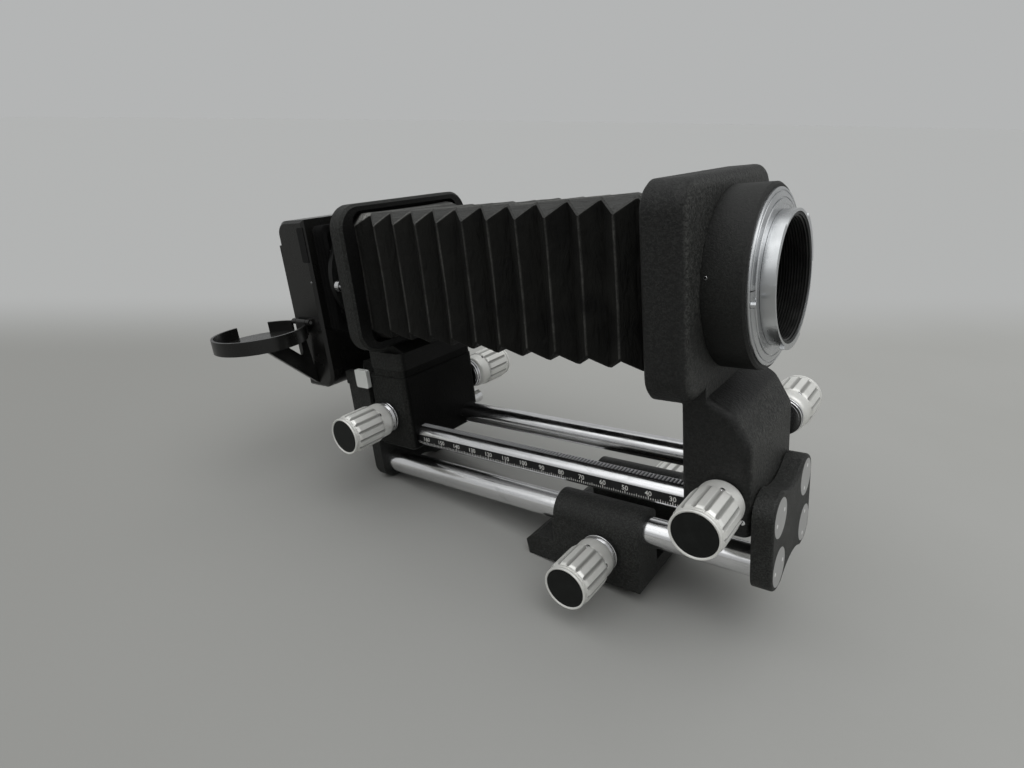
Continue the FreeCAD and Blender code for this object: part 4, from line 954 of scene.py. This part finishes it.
def side_notch():
    """The notch at the top of the copier's near side, round at its left, as a thin dark inlay that paints its
    shade.
    """
    left_r, right_r = 1.2, 0.1
    outline = []
    for cx, cz, radius, start in ((NOTCH_X[1] - right_r, NOTCH_Z[1] - right_r, right_r, 0),
                                  (NOTCH_X[0] + left_r, NOTCH_Z[1] - left_r, left_r, 90),
                                  (NOTCH_X[0] + left_r, NOTCH_Z[0] + left_r, left_r, 180),
                                  (NOTCH_X[1] - right_r, NOTCH_Z[0] + right_r, right_r, 270)):
        for k in range(7):
            a = math.radians(start + 15 * k)
            outline.append((cx + radius * math.cos(a), cz + radius * math.sin(a)))
    count = len(outline)
    verts = [(x, y, z) for y in (COPIER_NEAR_Y + NOTCH_DEEP, COPIER_NEAR_Y - NOTCH_PROUD) for x, z in outline]
    faces = [tuple(reversed(range(count))), tuple(range(count, 2 * count))]
    for k in range(count):
        n = (k + 1) % count
        faces.append((k, n, n + count, k + count))
    mesh_piece("copier_side_notch", verts, faces, HOLE_SHADE_BLACK, "copier")


def marks():
    """A screw low on the camera standard, pits on the rod, the mount and the copier, and the copier's notch."""
    foot_x = node_box("camera_standard")[1].x - 2.4
    slotted_screw("camera_foot_screw", (foot_x, -25.5, 44.9), (0, -1, 0), 1.0, "camera_standard", 65)
    rod = Vector((24.4, middle("rod_lower_near", 1), middle("rod_lower_near", 2)))
    for name, axis_point, out, surface_r, radius, body in (
            ("rod_pit", rod, Vector((0, -0.894, 0.447)), 5.944, 0.34, "rails"),
            ("drum_pit", Vector((48.8, 0, AXIS_Z)), Vector((0, -0.983, 0.18)), 31.0, 0.45, "camera_mount"),
            ("copier_pit", Vector((-151.9, 0, 124.5)), Vector((0, -1, 0)), -COPIER_NEAR_Y, 0.42, "copier")):
        pit(name, axis_point + out * surface_r, out, radius, body)
    side_notch()


spanner_sockets()
bore_ribs()
flange()
marks()


# ------------------------------------------------------------------ stage, lights, camera
FLOOR_A = Vector((node_box("tripod_block")[0].x + 1, 0, 2))     # under the tripod block's tongue
FLOOR_B = Vector((LENS_PLATE_LOW.x, 0, LENS_PLATE_LOW.z))       # under the end plate at the lens end
FLOOR_LEAN = math.atan2(FLOOR_B.z - FLOOR_A.z, FLOOR_A.x - FLOOR_B.x)
BACKDROP = (0.455, 0.462, 0.462)
BEHIND = (-0.632, 0.775, 0)         # from the camera past the object
TO_THE_RIGHT = (0.775, 0.632, 0)


def floor_material():
    """Grey paper that rises into the backdrop's tone behind the object, with painted shade that darkens it
    toward the left.
    """
    s = Surface("studio_paper", (0.3, 0.3, 0.29), roughness=0.95, specular=0.0)
    cloud = s.noise(0.006, detail=3)
    near = s.mix(s.ramp(cloud, 0.3, 0.7), (0.375, 0.378, 0.366), (0.393, 0.396, 0.386))
    # painted shade: darker toward the left
    shaded = s.mix(s.soft_ramp(s.dot(s.place, TO_THE_RIGHT), -0.32, 0.2), (0.3, 0.302, 0.292), near)
    length = s.node("ShaderNodeVectorMath", operation="LENGTH")
    s.link(s.place, length.inputs[0])
    round_about = s.mix(s.soft_ramp(length.outputs["Value"], 0.9, 4.0), shaded, BACKDROP)
    s.colour(s.mix(s.soft_ramp(s.dot(s.place, BEHIND), 0.23, 0.42), round_about, BACKDROP))
    s.bump(s.noise(0.4, detail=4), 0.05)
    return s.material


def stage():
    """A large plain floor through the two edges that the object stands on."""
    bpy.ops.mesh.primitive_circle_add(vertices=96, radius=14, fill_type="NGON")
    floor = bpy.context.object
    floor.name = "studio_floor"
    floor.location = FLOOR_A * MM
    floor.rotation_euler = (0, FLOOR_LEAN, 0)
    floor.data.materials.append(floor_material())


def side_light():
    """A wide soft light from far off, high at the camera end."""
    data = bpy.data.lights.new("side", "SUN")
    data.energy = 0.75
    data.angle = math.radians(50)
    obj = bpy.data.objects.new("side", data)
    bpy.context.scene.collection.objects.link(obj)
    obj.rotation_euler = Vector((0.62, -0.1, 0.75)).to_track_quat("Z", "Y").to_euler()


OVERHEAD = Vector((0.05, 0, 1)).normalized()
WINDOW = Vector((-0.6, -0.65, 0.55)).normalized()
ROOM_BEHIND = Vector((-0.3, 1, 0.1)).normalized()
SOFTBOX = Vector((-0.16, -0.65, 0.7)).normalized()


def studio_air():
    """Light from a wide overhead panel and a dim room round it; what is seen of them, straight or in metal and
    glass, is the plain backdrop, with the panel and a softbox as metal shows them."""
    world = bpy.data.worlds.new("studio_air")
    bpy.context.scene.world = world
    world.use_nodes = True
    w = Nodes(world.node_tree)
    ray = w.node("ShaderNodeTexCoord").outputs["Generated"]
    path = w.node("ShaderNodeLightPath").outputs

    panel = w.soft_ramp(w.dot(ray, OVERHEAD), 0.45, 0.92, 0.0, 1.05)
    window = w.soft_ramp(w.dot(ray, WINDOW), 0.6, 0.95, 0.0, 0.6)
    behind = w.soft_ramp(w.dot(ray, ROOM_BEHIND), 0.1, 0.9, 0.07, 0.34)
    light = w.tree.nodes["Background"]
    light.inputs["Color"].default_value = (1, 1, 0.99, 1)
    w.link(w.calc("ADD", w.calc("ADD", panel, window), behind), light.inputs["Strength"])

    overhead = w.soft_ramp(w.dot(ray, OVERHEAD), 0.7, 0.97, 0.0, 2.0)
    softbox = w.soft_ramp(w.dot(ray, SOFTBOX), 0.87, 0.965, 0.0, 1.75)
    lamps = w.times(w.calc("ADD", overhead, softbox), w.calc("LESS_THAN", path["Is Camera Ray"], 0.5))
    backdrop = w.node("ShaderNodeBackground")
    backdrop.inputs["Color"].default_value = (*BACKDROP, 1)
    w.link(w.calc("ADD", lamps, 1.0), backdrop.inputs["Strength"])

    seen = w.calc("MAXIMUM", w.calc("MAXIMUM", path["Is Camera Ray"], path["Is Glossy Ray"]),
                  path["Is Transmission Ray"])
    choose = w.node("ShaderNodeMixShader")
    w.link(seen, choose.inputs["Fac"])
    w.link(light.outputs["Background"], choose.inputs[1])
    w.link(backdrop.outputs["Background"], choose.inputs[2])
    w.link(choose.outputs["Shader"], w.tree.nodes["World Output"].inputs["Surface"])


def camera():
    data = bpy.data.cameras.new("camera")
    data.lens = 21.878
    data.sensor_width = 36
    data.clip_start = 0.01
    data.clip_end = 60
    obj = bpy.data.objects.new("camera", data)
    bpy.context.scene.collection.objects.link(obj)
    obj.location = (0.11956, -0.21602, 0.16677)
    obj.rotation_euler = [math.radians(a) for a in (71.1741, 5.7223, 37.1731)]
    bpy.context.scene.camera = obj


stage()
side_light()
studio_air()
camera()
bpy.context.scene.view_settings.view_transform = "Standard"
